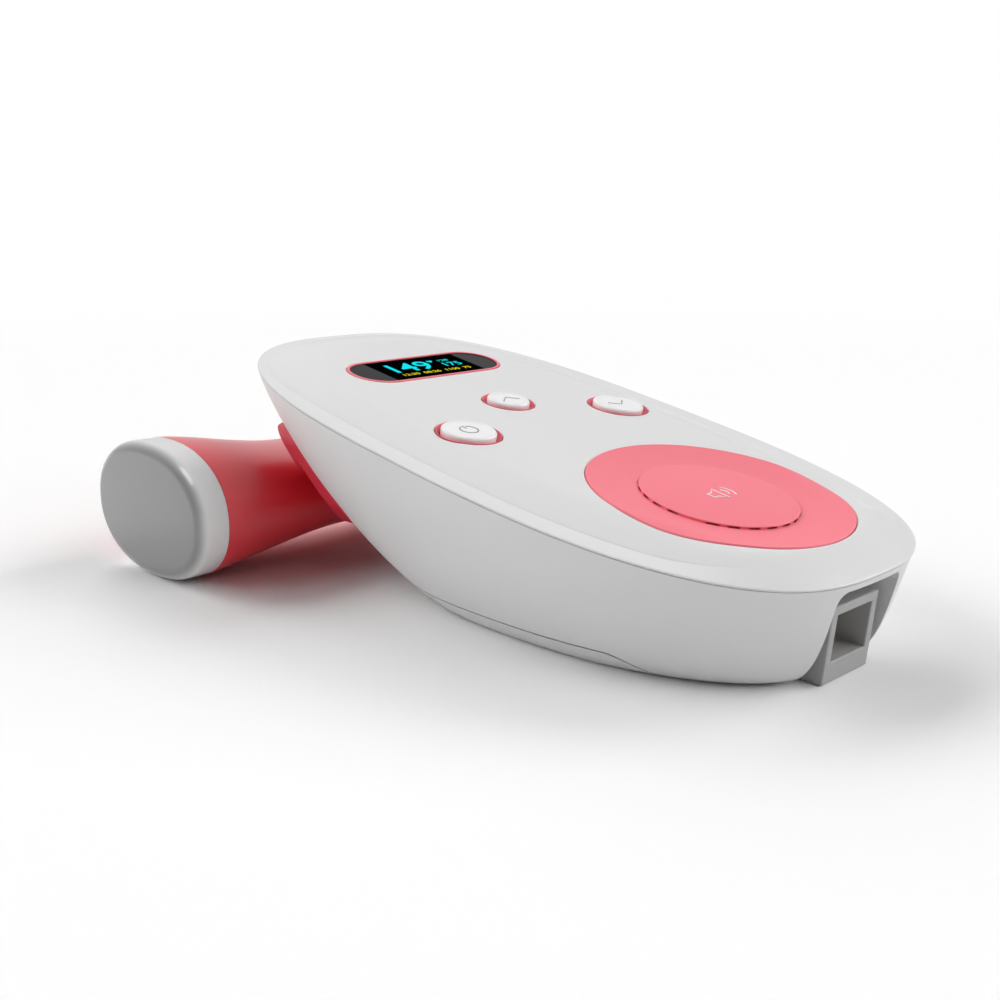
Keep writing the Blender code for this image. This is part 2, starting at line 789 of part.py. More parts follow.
def add_notch(housing, trim):
    """Walled notch in the foot end, open to the back and below."""
    half = NOTCH_WIDTH / 2
    back = notch_back_y() + NOTCH_WALL
    walls = rounded_outline(half + NOTCH_WALL, floor_top() - BURY, NOTCH_TOP + NOTCH_ROOF, NOTCH_RADIUS)
    box = place("notch_walls", extruded("notch_walls", walls, -BODY_LENGTH, back, "Y"), None)
    combine(box, trim, "INTERSECT")
    combine(housing, box, "UNION")
    outline = rounded_outline(half, -OVERRUN, NOTCH_TOP, NOTCH_RADIUS)
    hollow = extruded("notch_hollow", outline, -BODY_LENGTH, notch_back_y(), "Y")
    cut = place("notch_hollow", hollow, None)
    combine(housing, cut, "DIFFERENCE")
    low, high = spigot_heights()
    hole = block("spigot_hole",
                 (-SPIGOT_WIDTH / 2 - GAP, notch_back_y() - SHORT_OVERRUN, low - GAP),
                 (SPIGOT_WIDTH / 2 + GAP, back + SHORT_OVERRUN, high + GAP))
    combine(housing, place("spigot_hole", hole, None), "DIFFERENCE")


def spigot_heights():
    middle = (SOCKET_SILL + SOCKET_HEIGHT - SOCKET_WALL) / 2
    return middle - SPIGOT_HEIGHT / 2, middle + SPIGOT_HEIGHT / 2


def make_lead_socket():
    """Square socket for the lead, standing in the notch and leaning out at the top."""
    half = SOCKET_WIDTH / 2
    lean = SOCKET_HEIGHT * math.tan(SOCKET_LEAN)
    back = notch_back_y() - GAP
    front = socket_front_y()
    side = [(front, 0), (back, 0), (back, SOCKET_HEIGHT), (front - lean, SOCKET_HEIGHT)]
    socket = place("lead_socket", extruded("lead_socket", side, -half, half, "X"), "housing_white")
    soften(socket, SOCKET_EDGE)
    opening = half - SOCKET_WALL
    mouth = block("socket_mouth",
                  (-opening, front - lean - OVERRUN, SOCKET_SILL),
                  (opening, back - SOCKET_BACK_WALL, SOCKET_HEIGHT - SOCKET_WALL))
    combine(socket, place("socket_mouth", mouth, None), "DIFFERENCE")
    low, high = spigot_heights()
    spigot = block("socket_spigot", (-SPIGOT_WIDTH / 2, back - BURY, low),
                   (SPIGOT_WIDTH / 2, back + SPIGOT_LENGTH, high))
    combine(socket, place("socket_spigot", spigot, None), "UNION")


def make_socket_pins():
    """Contact block on the socket's back wall, with its row of pins."""
    back = notch_back_y() - GAP - SOCKET_BACK_WALL - GAP
    middle = (SOCKET_SILL + SOCKET_HEIGHT - SOCKET_WALL) / 2
    base = block("socket_pins",
                 (-PIN_BASE_WIDTH / 2, back - PIN_BASE_DEPTH, middle - PIN_BASE_HEIGHT / 2),
                 (PIN_BASE_WIDTH / 2, back, middle + PIN_BASE_HEIGHT / 2))
    pins = place("socket_pins", base, "brass")
    for number in range(PIN_COUNT):
        x = (number - (PIN_COUNT - 1) / 2) * PIN_PITCH
        pin = block(f"pin_{number + 1}",
                    (x - PIN_SIZE / 2, back - PIN_BASE_DEPTH - PIN_LENGTH, middle - PIN_SIZE / 2),
                    (x + PIN_SIZE / 2, back - PIN_BASE_DEPTH + BURY, middle + PIN_SIZE / 2))
        combine(pins, place(f"pin_{number + 1}", pin, None), "UNION")


def cradle_region(name, clearance):
    outline = rounded_outline(BODY_WIDTH / 2 * CRADLE_WIDTH_SHARE + clearance, CRADLE_LOW - clearance,
                              CRADLE_HIGH + clearance, CRADLE_CORNER)
    solid = extruded(name, outline, belly_head_y() - clearance, BODY_LENGTH / 2 + CRADLE_STAND, "Y")
    return place(name, solid, None)


def cut_cradle_recess(housing):
    recess = cradle_region("cradle_recess", GAP)
    combine(recess, hull_solid("cradle_recess_core", CRADLE_SEAT + GAP), "DIFFERENCE")
    combine(housing, recess, "DIFFERENCE")


def make_probe_cradle():
    """Saddle under the head: it follows the housing on one side and the probe's waist on the other."""
    cradle = hull_solid("probe_cradle", -CRADLE_STAND, "coral")
    combine(cradle, cradle_region("cradle_blank", 0), "INTERSECT")
    combine(cradle, hull_solid("cradle_core", CRADLE_SEAT), "DIFFERENCE")
    rest = place("handle_rest", loft("handle_rest", handle_rings(-GAP)), None, None,
                 (0, probe_y(), PROBE_Z))
    combine(cradle, rest, "DIFFERENCE")


def make_dock_magnets():
    for number, side in enumerate((-1, 1), 1):
        angle = side * DOCK_MAGNET_ANGLE
        spot = hull_point(angle, DOCK_MAGNET_TURN, WALL, floor_top())
        ahead = hull_point(angle, DOCK_MAGNET_TURN + SLOPE_STEP, WALL, floor_top())
        beside = hull_point(angle + SLOPE_STEP, DOCK_MAGNET_TURN, WALL, floor_top())
        inward = (ahead - spot).cross(beside - spot).normalized()
        if inward.z < 0:
            inward.negate()
        seat = spot + inward * (2 * GAP)
        turned(f"dock_magnet_{number}", rod_profile(DOCK_MAGNET_RADIUS, 0, DOCK_MAGNET_THICKNESS),
               "magnet_metal", None, seat, turn=inward.to_track_quat("Z", "Y").to_euler())


def make_display(deck):
    flange_top = ceiling() - GAP
    flange_low = flange_top - FLANGE_THICKNESS
    rim_top = DECK_RISE + DISPLAY_RIM_PROUD
    half = DISPLAY_HALF_STRAIGHT
    rim = extruded("display_bezel", pill_outline(half, DISPLAY_RADIUS, display_y()), flange_low, rim_top)
    bezel = place("display_bezel", rim, "coral", deck)
    wide = pill_outline(half, DISPLAY_RADIUS + DISPLAY_FLANGE, display_y())
    flange = place("bezel_flange", extruded("bezel_flange", wide, flange_low, flange_top), None, deck)
    combine(bezel, flange, "UNION")
    inner = DISPLAY_RADIUS - DISPLAY_RIM
    bore = pill_outline(half, inner, display_y())
    hollow = extruded("bezel_hollow", bore, flange_low - OVERRUN, rim_top + OVERRUN)
    combine(bezel, place("bezel_hollow", hollow, None, deck), "DIFFERENCE")
    window_top = DECK_RISE - WINDOW_SINK
    window_low = window_top - WINDOW_THICKNESS
    lens = extruded("display_window", pill_outline(half, inner - GAP, display_y()), window_low, window_top)
    place("display_window", lens, "smoked_window", deck)
    make_oled(deck, flange_low - GAP)


def make_oled(deck, top):
    """Display module lying in a moulded carrier that stands on the main board."""
    half_width, half_length = OLED_WIDTH / 2, OLED_LENGTH / 2
    low = top - OLED_THICKNESS
    foot, head = display_y() - half_length, display_y() + half_length
    glass = block("oled_module", (-half_width, foot, low), (half_width, head, top))
    place("oled_module", glass, "oled_glass", deck)
    wall = CARRIER_WALL + GAP
    body = block("display_carrier",
                 (-half_width - wall, foot - wall, board_top() + GAP), (half_width + wall, head + wall, top))
    carrier = place("display_carrier", body, "black_plastic", deck)
    pocket = block("carrier_pocket",
                   (-half_width - GAP, foot - GAP, low - GAP), (half_width + GAP, head + GAP, top + OVERRUN))
    combine(carrier, place("carrier_pocket", pocket, None, deck), "DIFFERENCE")
    through = block("carrier_through",
                    (-half_width + OLED_LEDGE, foot + OLED_LEDGE, board_top() - OVERRUN),
                    (half_width - OLED_LEDGE, head - OLED_LEDGE, low + SHORT_OVERRUN))
    combine(carrier, place("carrier_through", through, None, deck), "DIFFERENCE")


def make_keys(deck):
    ring_low = ceiling() - GAP - FLANGE_THICKNESS
    for name, x, y, radius in key_spots():
        key_frame = make_frame(f"{name}_key_axis", (x, y, 0), parent=deck)
        make_key_ring(name, key_frame, radius, ring_low)
        plunger_low = make_key(name, key_frame, radius - RING_WIDTH - GAP, ring_low - GAP)
        make_switch(name, key_frame, plunger_low - KEY_TRAVEL - GAP)


def make_key_ring(name, frame, radius, low):
    top = DECK_RISE + RING_PROUD
    flange_top = low + FLANGE_THICKNESS
    bore = radius - RING_WIDTH
    profile = [(bore, top), (radius, top), (radius, flange_top), (radius + FLANGE_WIDTH, flange_top),
               (radius + FLANGE_WIDTH, low), (bore, low)]
    turned(f"{name}_button_ring", profile, "coral", frame, steps=KEY_STEPS, ring=True)


def make_key(name, frame, radius, flange_top):
    """Domed key cap with the flange that keeps it under its ring, and the stem for its switch."""
    top = DECK_RISE + KEY_PROUD
    shoulder = top - KEY_DOME
    flange_radius = radius + GAP + FLANGE_WIDTH / 2
    flange_low = flange_top - FLANGE_THICKNESS
    stem_low = flange_low - KEY_STEM_LENGTH
    profile = [(0, top), (radius * KEY_DOME_SHARE, top - KEY_DOME * KEY_DOME_SHARE ** 2),
               (radius - KEY_EDGE, shoulder)]
    for k in range(1, KEY_EDGE_STEPS + 1):
        angle = math.pi / 2 * k / KEY_EDGE_STEPS
        profile.append((radius - KEY_EDGE + KEY_EDGE * math.sin(angle),
                        shoulder - KEY_EDGE + KEY_EDGE * math.cos(angle)))
    profile += [(radius, flange_top), (flange_radius, flange_top), (flange_radius, flange_low),
                (KEY_STEM_RADIUS, flange_low), (KEY_STEM_RADIUS, stem_low), (0, stem_low)]
    turned(f"{name}_button", profile, "key_white", frame, steps=KEY_STEPS)
    plunger_top = stem_low - GAP
    plunger_low = plunger_top - PLUNGER_LENGTH
    turned(f"{name}_plunger", rod_profile(PLUNGER_RADIUS, plunger_low, plunger_top), "black_plastic", frame,
           steps=SCREW_STEPS)
    return plunger_low


def make_switch(name, frame, bore_low):
    """Push switch whose bore leaves the plunger its travel."""
    half = SWITCH_SIZE / 2
    low = -SWITCH_TOP - SWITCH_HEIGHT
    body = block(f"{name}_switch", (-half, -half, low), (half, half, -SWITCH_TOP))
    switch = place(f"{name}_switch", body, "black_plastic", frame)
    bore = turned(f"{name}_switch_bore", rod_profile(PLUNGER_RADIUS + GAP, bore_low, -SWITCH_TOP + OVERRUN),
                  None, frame, steps=SCREW_STEPS)
    combine(switch, bore, "DIFFERENCE")


def board_top():
    return -SWITCH_TOP - SWITCH_HEIGHT - GAP


def board_half_width():
    return SCREW_X + BOARD_SIDE_MARGIN


def make_main_board(deck):
    middle, reach = along(BOARD_Y_SHARE), along(BOARD_LENGTH_SHARE) / 2
    outline = rounded_outline(board_half_width(), middle - reach, middle + reach, BOARD_CORNER)
    slab = extruded("main_board", outline, board_top() - BOARD_THICKNESS, board_top())
    board = place("main_board", slab, "board_green", deck)
    bore = rod_profile(BOSS_RADIUS + GAP, board_top() - OVERRUN, board_top() + OVERRUN)
    for number, (x, y) in enumerate(screw_spots()[:2], 1):
        hole = turned(f"board_hole_{number}", bore, None, deck, (x, y, 0), SCREW_STEPS)
        combine(board, hole, "DIFFERENCE")


def make_screws(deck):
    for number, (x, y) in enumerate(screw_spots(), 1):
        seat = deck_height_at(SCREW_SEAT_HEIGHT, y) - GAP
        tip = -BOSS_DEPTH + SCREW_GRIP
        head_low = seat - SCREW_HEAD_THICKNESS
        socket_top = head_low + SCREW_SOCKET_DEPTH
        profile = [(0, tip), (SCREW_RADIUS / 2, tip), (SCREW_RADIUS, tip - SCREW_RADIUS),
                   (SCREW_RADIUS, seat), (SCREW_HEAD_RADIUS, seat), (SCREW_HEAD_RADIUS, head_low),
                   (SCREW_SOCKET_RADIUS, head_low), (SCREW_SOCKET_RADIUS, socket_top), (0, socket_top)]
        turned(f"housing_screw_{number}", profile, "steel", deck, (x, y, 0), SCREW_STEPS)


def make_speaker(deck):
    frame = make_frame("speaker_axis", (0, along(SPEAKER_Y_SHARE), 0), parent=deck)
    panel_low = make_speaker_panel(frame)
    gasket_top = panel_low - GAP
    gasket_low = gasket_top - GASKET_THICKNESS
    inner = SPEAKER_RADIUS - GASKET_WIDTH
    turned("speaker_gasket", [(inner, gasket_top), (SPEAKER_RADIUS, gasket_top),
                              (SPEAKER_RADIUS, gasket_low), (inner, gasket_low)], "foam", frame, ring=True)
    flange_top = gasket_low - GAP
    back = make_speaker_frame(frame, flange_top)
    make_speaker_cone(frame, flange_top)
    magnet_top = back - GAP
    magnet_low = magnet_top - MAGNET_THICKNESS
    turned("speaker_magnet", [(0, magnet_top), (MAGNET_RADIUS, magnet_top),
                              (MAGNET_RADIUS, magnet_low + MAGNET_EDGE),
                              (MAGNET_RADIUS - MAGNET_EDGE, magnet_low), (0, magnet_low)],
           "magnet_metal", frame)


def make_speaker_panel(frame):
    """Flush coral panel dished round a low disc: sound slots at its foot, snap flange, speaker cup."""
    top = DECK_RISE + PANEL_PROUD
    dish = top - DISH_DEPTH
    low = top - PANEL_THICKNESS
    flange_top = ceiling() - GAP
    flange_radius = PANEL_RADIUS + FLANGE_WIDTH
    flange_low = flange_top - FLANGE_THICKNESS
    cup_outer = PANEL_CUP_RADIUS + PANEL_CUP_WALL
    cup_low = low - PANEL_CUP_DEPTH
    disc_edge = DISC_RADIUS - DISC_STEP
    profile = [(0, dish + DISC_RISE), (disc_edge - DISC_STEP, dish + DISC_RISE)]
    for k in range(1, DISC_EDGE_STEPS):
        share = k / DISC_EDGE_STEPS
        angle = math.pi / 2 * share
        profile.append((disc_edge + DISC_STEP * (math.sin(angle) - 1 + share),
                        dish + DISC_RISE * math.cos(angle)))
    profile += [(DISC_RADIUS, dish), (PANEL_RADIUS, top), (PANEL_RADIUS, flange_top),
                (flange_radius, flange_top), (flange_radius, flange_low), (cup_outer, flange_low),
                (cup_outer, cup_low), (PANEL_CUP_RADIUS, cup_low), (PANEL_CUP_RADIUS, low), (0, low)]
    panel = turned("speaker_panel", profile, "coral", frame, steps=FACE_STEPS)
    for number in range(SLOT_PLACES):
        if number in SLOT_BLANKS:
            continue
        slot = block("sound_slot", (DISC_RADIUS, -SLOT_LENGTH / 2, low - OVERRUN),
                     (DISC_RADIUS + SLOT_WIDTH, SLOT_LENGTH / 2, top + OVERRUN))
        tool = place(f"sound_slot_{number + 1}", slot, None, frame)
        tool.rotation_euler.z = math.tau * number / SLOT_PLACES - math.pi / 2
        combine(panel, tool, "DIFFERENCE")
    return low


def make_speaker_frame(frame, top):
    """Pressed basket: flange, sloping wall and flat back; gives the height of its back."""
    wall = SPEAKER_BASKET_WALL
    flange_low = top - SPEAKER_FLANGE_THICKNESS
    throat = SPEAKER_RADIUS - SPEAKER_FLANGE_WIDTH
    back = top - SPEAKER_DEPTH
    profile = [(0, back + wall), (SPEAKER_BACK_RADIUS - wall, back + wall), (throat - wall, flange_low),
               (throat - wall, top), (SPEAKER_RADIUS, top), (SPEAKER_RADIUS, flange_low),
               (throat, flange_low), (SPEAKER_BACK_RADIUS, back), (0, back)]
    turned("speaker_frame", profile, "steel", frame)
    return back


def make_speaker_cone(frame, top):
    rim = SPEAKER_RADIUS - SPEAKER_FLANGE_WIDTH - SPEAKER_BASKET_WALL - GAP
    deep = top - CONE_DEPTH
    edge = top - CONE_THICKNESS / 2
    upper = [(0, deep + CONE_DEPTH / 2), (DUST_CAP_RADIUS, deep), (rim, edge)]
    lower = [(rim, edge - CONE_THICKNESS), (DUST_CAP_RADIUS, deep - CONE_THICKNESS),
             (0, deep - CONE_THICKNESS)]
    turned("speaker_cone", upper + lower, "cone_paper", frame)


def cell_centre_z():
    return cell_bottom() + CELL_RADIUS


def make_cells():
    """Two cells side by side, head to tail, with the stamped contacts and coil springs at their ends."""
    foot = bay_foot_y() + GAP
    head = bay_head_y() - GAP
    offset = CELL_RADIUS + GAP / 2
    cap_line = CELL_LENGTH - CELL_NUB_HEIGHT
    for number, side in enumerate((-1, 1), 1):
        profile = [(0, CELL_LENGTH), (CELL_NUB_RADIUS, CELL_LENGTH), (CELL_NUB_RADIUS, cap_line),
                   (CELL_RADIUS - CELL_EDGE, cap_line), (CELL_RADIUS, cap_line - CELL_EDGE),
                   (CELL_RADIUS, 0), (0, 0)]
        start = head - CONTACT_THICKNESS - GAP - CELL_LENGTH if side > 0 else (
            foot + CONTACT_THICKNESS + GAP + CELL_LENGTH)
        turn = (-math.pi / 2, 0, 0) if side > 0 else (math.pi / 2, 0, 0)
        turned(f"battery_{number}", profile, "cell_wrap", None, (side * offset, start, cell_centre_z()),
               turn=turn)
    make_contact("bridge_contact", -offset - CONTACT_WIDTH / 2, offset + CONTACT_WIDTH / 2, foot)
    for name, side in (("negative_contact", -1), ("positive_contact", 1)):
        centre = side * offset
        make_contact(name, centre - CONTACT_WIDTH / 2, centre + CONTACT_WIDTH / 2,
                     head - CONTACT_THICKNESS)
    make_spring("head_contact_spring", -offset, head - CONTACT_THICKNESS - GAP, -1)
    make_spring("foot_contact_spring", offset, foot + CONTACT_THICKNESS + GAP, 1)


def make_contact(name, left, right, y):
    low = cell_centre_z() - CONTACT_HEIGHT / 2
    plate = block(name, (left, y, low), (right, y + CONTACT_THICKNESS, low + CONTACT_HEIGHT))
    place(name, plate, "steel")


def make_spring(name, x, y, direction):
    """Tapered coil between a contact plate and the flat end of a cell."""
    curve = bpy.data.curves.new(name, "CURVE")
    curve.dimensions = "3D"
    curve.bevel_depth = SPRING_WIRE
    curve.bevel_resolution = 1
    curve.use_fill_caps = True
    curve.render_resolution_u = 0
    spline = curve.splines.new("POLY")
    count = SPRING_TURNS * SPRING_POINTS
    spline.points.add(count)
    run = SPRING_ROOM - 2 * SPRING_WIRE - 3 * GAP
    for k in range(count + 1):
        share = k / count
        angle = math.tau * SPRING_TURNS * share
        radius = SPRING_BASE_RADIUS + (SPRING_TIP_RADIUS - SPRING_BASE_RADIUS) * share
        along = direction * (SPRING_WIRE + run * share)
        spline.points[k].co = (radius * math.cos(angle), along, radius * math.sin(angle), 1)
    place(name, curve, "steel", None, (x, y, cell_centre_z()))


def probe_section(x, half_depth, half_height):
    ring = []
    for k in range(PROBE_POINTS):
        z, y = oval_point(math.tau * k / PROBE_POINTS, half_height, half_depth, PROBE_POWER)
        ring.append((x, y, z))
    return ring


def seam_x():
    return PROBE_LENGTH / 2 - CAP_LENGTH


def handle_size(x):
    """Half depth and half height of the handle at a distance from its middle."""
    run = (seam_x() - abs(x)) / (seam_x() - WAIST_HALF_LENGTH)
    pinch = math.sin(min(max(run, 0), 1) * math.pi / 2) ** WAIST_POWER
    half_depth = PROBE_HALF_DEPTH + (WAIST_HALF_DEPTH - PROBE_HALF_DEPTH) * pinch
    half_height = PROBE_HALF_HEIGHT + (WAIST_HALF_HEIGHT - PROBE_HALF_HEIGHT) * pinch
    return half_depth, half_height


def handle_rings(inset):
    """Sections along the handle, closest together where it flares."""
    rings = []
    end = seam_x() - GAP / 2
    for k in range(PROBE_STATIONS):
        x = -end * math.cos(math.pi * k / (PROBE_STATIONS - 1))
        half_depth, half_height = handle_size(x)
        rings.append(probe_section(x, half_depth - inset, half_height - inset))
    return rings


def make_handle(probe):
    skin = handle_rings(0) + list(reversed(handle_rings(PROBE_WALL)))
    place("probe_handle", loft("probe_handle", skin, closed=True), "handle_coral", probe)


def cap_mesh(name, side):
    """Hollow oval cap with a rounded edge and the lip that plugs into the handle."""
    seam = seam_x() + GAP / 2
    end = PROBE_LENGTH / 2
    rings = []
    for k in range(CAP_EDGE_STEPS + 1):
        angle = math.pi / 2 * k / CAP_EDGE_STEPS
        x = end - CAP_EDGE * (1 - math.sin(angle))
        inset = CAP_EDGE * (1 - math.cos(angle))
        rings.append((x, inset))
    outer = [(seam, 0)] + rings
    lip = PROBE_WALL + GAP
    inner = [(end - CAP_WALL, lip + CAP_WALL), (seam - CAP_LIP, lip + CAP_WALL), (seam - CAP_LIP, lip),
             (seam, lip)]
    path = list(reversed(outer)) + list(reversed(inner))
    skin = []
    for x, inset in path:
        skin.append(probe_section(side * x, PROBE_HALF_DEPTH - inset, PROBE_HALF_HEIGHT - inset))
    return loft(name, skin)


def make_probe_caps(probe):
    place("probe_face", cap_mesh("probe_face", -1), "key_white", probe)
    end_cap = place("probe_end_cap", cap_mesh("probe_end_cap", 1), "key_white", probe)
    face = PROBE_LENGTH / 2
    hole = turned("inlet_hole", rod_profile(INLET_RADIUS + GAP, -OVERRUN, OVERRUN), None, probe,
                  (face, 0, 0), turn=(0, math.pi / 2, 0))
    combine(end_cap, hole, "DIFFERENCE")


def make_probe_inlet(probe):
    """Bushing in the end cap where the probe's lead comes in."""
    face = PROBE_LENGTH / 2
    top = INLET_FLANGE_THICKNESS + GAP
    low = top - INLET_LENGTH
    profile = [(INLET_BORE, top), (INLET_RADIUS + INLET_FLANGE, top), (INLET_RADIUS + INLET_FLANGE, GAP),
               (INLET_RADIUS, GAP), (INLET_RADIUS, low), (INLET_BORE, low)]
    turned("probe_inlet", profile, "rubber_grey", probe, (face, 0, 0), ring=True,
           turn=(0, math.pi / 2, 0))


def half_disc(side):
    """Outline of one of the two crystals, on the -Y or the +Y side."""
    outline = []
    for k in range(INNER_STEPS // 2 + 1):
        angle = math.pi * k / (INNER_STEPS // 2)
        across = PIEZO_SPACING / 2 + PIEZO_RADIUS * math.sin(angle)
        outline.append((side * across, PIEZO_RADIUS * math.cos(angle)))
    return outline


def make_transducer(probe):
    """Sending and receiving half-discs against the probe's face, with the absorber behind them."""
    back_of_face = -PROBE_LENGTH / 2 + CAP_WALL + GAP
    for name, side in (("piezo_sender", -1), ("piezo_receiver", 1)):
        disc = extruded(name, half_disc(side), back_of_face, back_of_face + PIEZO_THICKNESS, "X")
        place(name, disc, "piezo_ceramic", probe)
    start = back_of_face + PIEZO_THICKNESS + GAP
    turned("probe_backing", rod_profile(BACKING_RADIUS, 0, BACKING_THICKNESS), "cork", probe,
           (start, 0, 0), turn=(0, math.pi / 2, 0))
    board_start = start + BACKING_THICKNESS + GAP
    board = block("probe_board",
                  (board_start, -PROBE_BOARD_WIDTH / 2, -PROBE_BOARD_THICKNESS / 2),
                  (board_start + PROBE_BOARD_LENGTH, PROBE_BOARD_WIDTH / 2, PROBE_BOARD_THICKNESS / 2))
    place("probe_board", board, "board_green", probe)


def make_keeper(probe):
    """Steel bar inside the handle that the cradle's magnets pull on."""
    inner_depth = WAIST_HALF_DEPTH - PROBE_WALL
    inner_height = WAIST_HALF_HEIGHT - PROBE_WALL
    corner_share = (KEEPER_HEIGHT / 2 / inner_height) ** PROBE_POWER
    seat = -inner_depth * (1 - corner_share) ** (1 / PROBE_POWER) + GAP
    bar = block("keeper_bar", (-KEEPER_LENGTH / 2, seat, -KEEPER_HEIGHT / 2),
                (KEEPER_LENGTH / 2, seat + KEEPER_THICKNESS, KEEPER_HEIGHT / 2))
    place("keeper_bar", bar, "steel", probe)


def make_probe():
    probe = make_frame("probe_axis", (0, probe_y(), PROBE_Z))
    make_handle(probe)
    make_probe_caps(probe)
    make_probe_inlet(probe)
    make_transducer(probe)
    make_keeper(probe)


def build():
    deck = make_frame("deck_frame", (0, 0, deck_height()), DECK_TILT)
    make_top_cover(deck)
    make_bottom_housing(deck)
    make_battery_door()
    make_cells()
    make_lead_socket()
    make_socket_pins()
    make_display(deck)
    make_keys(deck)
    make_main_board(deck)
    make_screws(deck)
    make_speaker(deck)
    make_probe_cradle()
    make_dock_magnets()
    make_probe()


clear_scene()
PARTS = make_collection("fetal_doppler")
CUTTERS = make_collection("cutters")
build()
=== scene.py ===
"""Looks of the fetal doppler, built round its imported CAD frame."""

import json
import math

import bmesh
import bpy
from mathutils import Matrix, Vector


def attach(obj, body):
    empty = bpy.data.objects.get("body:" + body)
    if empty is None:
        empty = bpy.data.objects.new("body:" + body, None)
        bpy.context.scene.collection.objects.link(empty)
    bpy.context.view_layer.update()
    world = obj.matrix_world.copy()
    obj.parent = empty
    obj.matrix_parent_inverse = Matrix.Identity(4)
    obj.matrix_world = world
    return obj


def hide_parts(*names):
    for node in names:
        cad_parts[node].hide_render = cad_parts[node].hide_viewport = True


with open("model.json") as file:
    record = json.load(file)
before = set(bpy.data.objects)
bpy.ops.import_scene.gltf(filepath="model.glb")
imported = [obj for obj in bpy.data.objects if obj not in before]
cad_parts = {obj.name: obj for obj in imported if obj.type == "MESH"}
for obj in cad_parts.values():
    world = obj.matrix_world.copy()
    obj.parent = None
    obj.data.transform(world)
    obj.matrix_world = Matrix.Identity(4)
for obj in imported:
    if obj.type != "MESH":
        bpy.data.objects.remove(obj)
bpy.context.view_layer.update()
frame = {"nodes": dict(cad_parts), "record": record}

# Sizes shared with the CAD, in metres
GAP = 0.0003
OVERRUN = 0.004
BURY = 0.0005
BODY_LENGTH = 0.1396
BODY_WIDTH = 0.0776
OUTLINE_POWER = 2.72
DECK_HEIGHT = 0.0305019
DECK_TILT = math.radians(10.56)
DECK_RISE = 0.00255
COVER_WALL = 0.0018
INNER_FALL = 0.9
LIP_OUTER = 0.0028
LIP_INNER = 0.0040
LIP_HEIGHT = 0.0015
LIP_HEAD_INSET = 0.0032
SHOULDER_INSET = 0.0135
FOOT_SHOULDER_INSET = 0.0078
CREASE_INSET = 0.0045
HEAD_CREASE_INSET = 0.0023
CREASE_HEIGHT = 0.00056
CREASE_DROP = 0.00015
CREASE_RUN = 0.00034
RIM_TOP = 0.00040
RIM_ROUND = 0.00032
SHOULDER_POWER = 1.3
FOOT_POWER = 1.15
FOOT_BLEND_START = 0.40
FOOT_BLEND_SPAN = 0.45
HEAD_NARROWING = 0.45
SEAM_HALF = 0.00005
SEAM_EDGE = 0.00002
SEAM_EDGE_INSET = 0.00008
OPENING_ROUND = 0.00035
WALL = 0.0020
FLOOR_TOP = 0.0060
BELLY_LENGTH = 0.07999
BELLY_WIDTH = 0.05044
BELLY_POWER = 2.43
BELLY_CENTRE_Y = -0.015496
DRAW_POWERS = (1.55, 1.86, 0.42)
DROP_POWERS = (1.26, 2.08, 2.76)
DOOR_WALL = 0.0015
DOOR_SEAM_HEIGHT = 0.0037
DOOR_FOOT_Y = -0.0460
DOOR_TAIL_LENGTH = 0.0100
DOOR_HEAD_Y = 0.0360
GROOVE_COUNT = 5
GROOVE_HALF_LENGTH = 0.0070
GROOVE_FIRST_Y = -0.0380
GROOVE_PITCH = 0.0020
GROOVE_WIDTH = 0.0009
GROOVE_DEPTH = 0.0005
BAY_HALF_WIDTH = 0.0151
BAY_FOOT_Y = -0.0330
BAY_HEAD_Y = 0.0227
NOTCH_WIDTH = 0.0186
NOTCH_TOP = 0.0166
NOTCH_BACK_Y = -0.0553
NOTCH_RADIUS = 0.0022
NOTCH_WALL = 0.0016
NOTCH_ROOF = 0.0008
SOCKET_WIDTH = 0.0136
SOCKET_HEIGHT = 0.0133
SOCKET_FRONT_Y = -0.0640
SOCKET_WALL = 0.00165
SOCKET_SILL = 0.0037
SOCKET_BACK_WALL = 0.0010
SOCKET_LEAN = math.radians(6)
SOCKET_EDGE = 0.00025
CRADLE_HALF_WIDTH = 0.03104
CRADLE_LOW = 0.0125
CRADLE_HIGH = 0.0298
CRADLE_CORNER = 0.0060
CRADLE_BACK_Y = 0.0245
CRADLE_FRONT_Y = 0.0714
CRADLE_SEAT = 0.0008
CRADLE_STAND = 0.0014
EAR_STAND = 0.0022
EAR_LOW = 0.0215
EAR_WIDTH = 0.0090
DISPLAY_Y = 0.037692
DISPLAY_HALF_STRAIGHT = 0.0124
DISPLAY_RADIUS = 0.00653
DISPLAY_RIM = 0.00048
TRIM_STAND = 0.0001
WINDOW_GAP = 0.00005
WINDOW_LOW = 0.0016
WINDOW_SINK = 0.0001
SCREEN_HALF = 0.0119
SCREEN_MARGIN = 0.0001
SCREEN_THICKNESS = 0.00002
FIGURES_LEVEL = 0.00004
HEART_LOW = 0.00001
KEYS = (
    ("power", -0.0206, 0.0022057, 0.0061),
    ("up", 0.0, 0.0129968, 0.0052),
    ("down", 0.0206, 0.0022057, 0.0061),
)
RING_WIDTH = 0.00085
RING_SINK = 0.0008
RING_STAND = 0.00005
RING_FLAT = 0.0002
RING_SLOPE_TOP = 0.0001
RING_EDGE = 0.00008
RING_POWER = 1.6
FLANGE_WIDTH = 0.0012
FLANGE_THICKNESS = 0.0006
KEY_PROUD = 0.0007
KEY_EDGE = 0.0005
KEY_DISH = 0.00012
KEY_DISH_INSET = 0.0004
KEY_DISH_RISE = 0.00002
KEY_LIP_DROP = 0.00004
KEY_LIP_RUN = 0.0001
KEY_FLANGE_WIDTH = 0.0009
STEM_RADIUS = 0.0020
STEM_LENGTH = 0.0015
KEY_MARK_WIDTH = 0.00026
KEY_MARK_HEIGHT = 0.00012
KEY_MARK_SINK = 0.00019
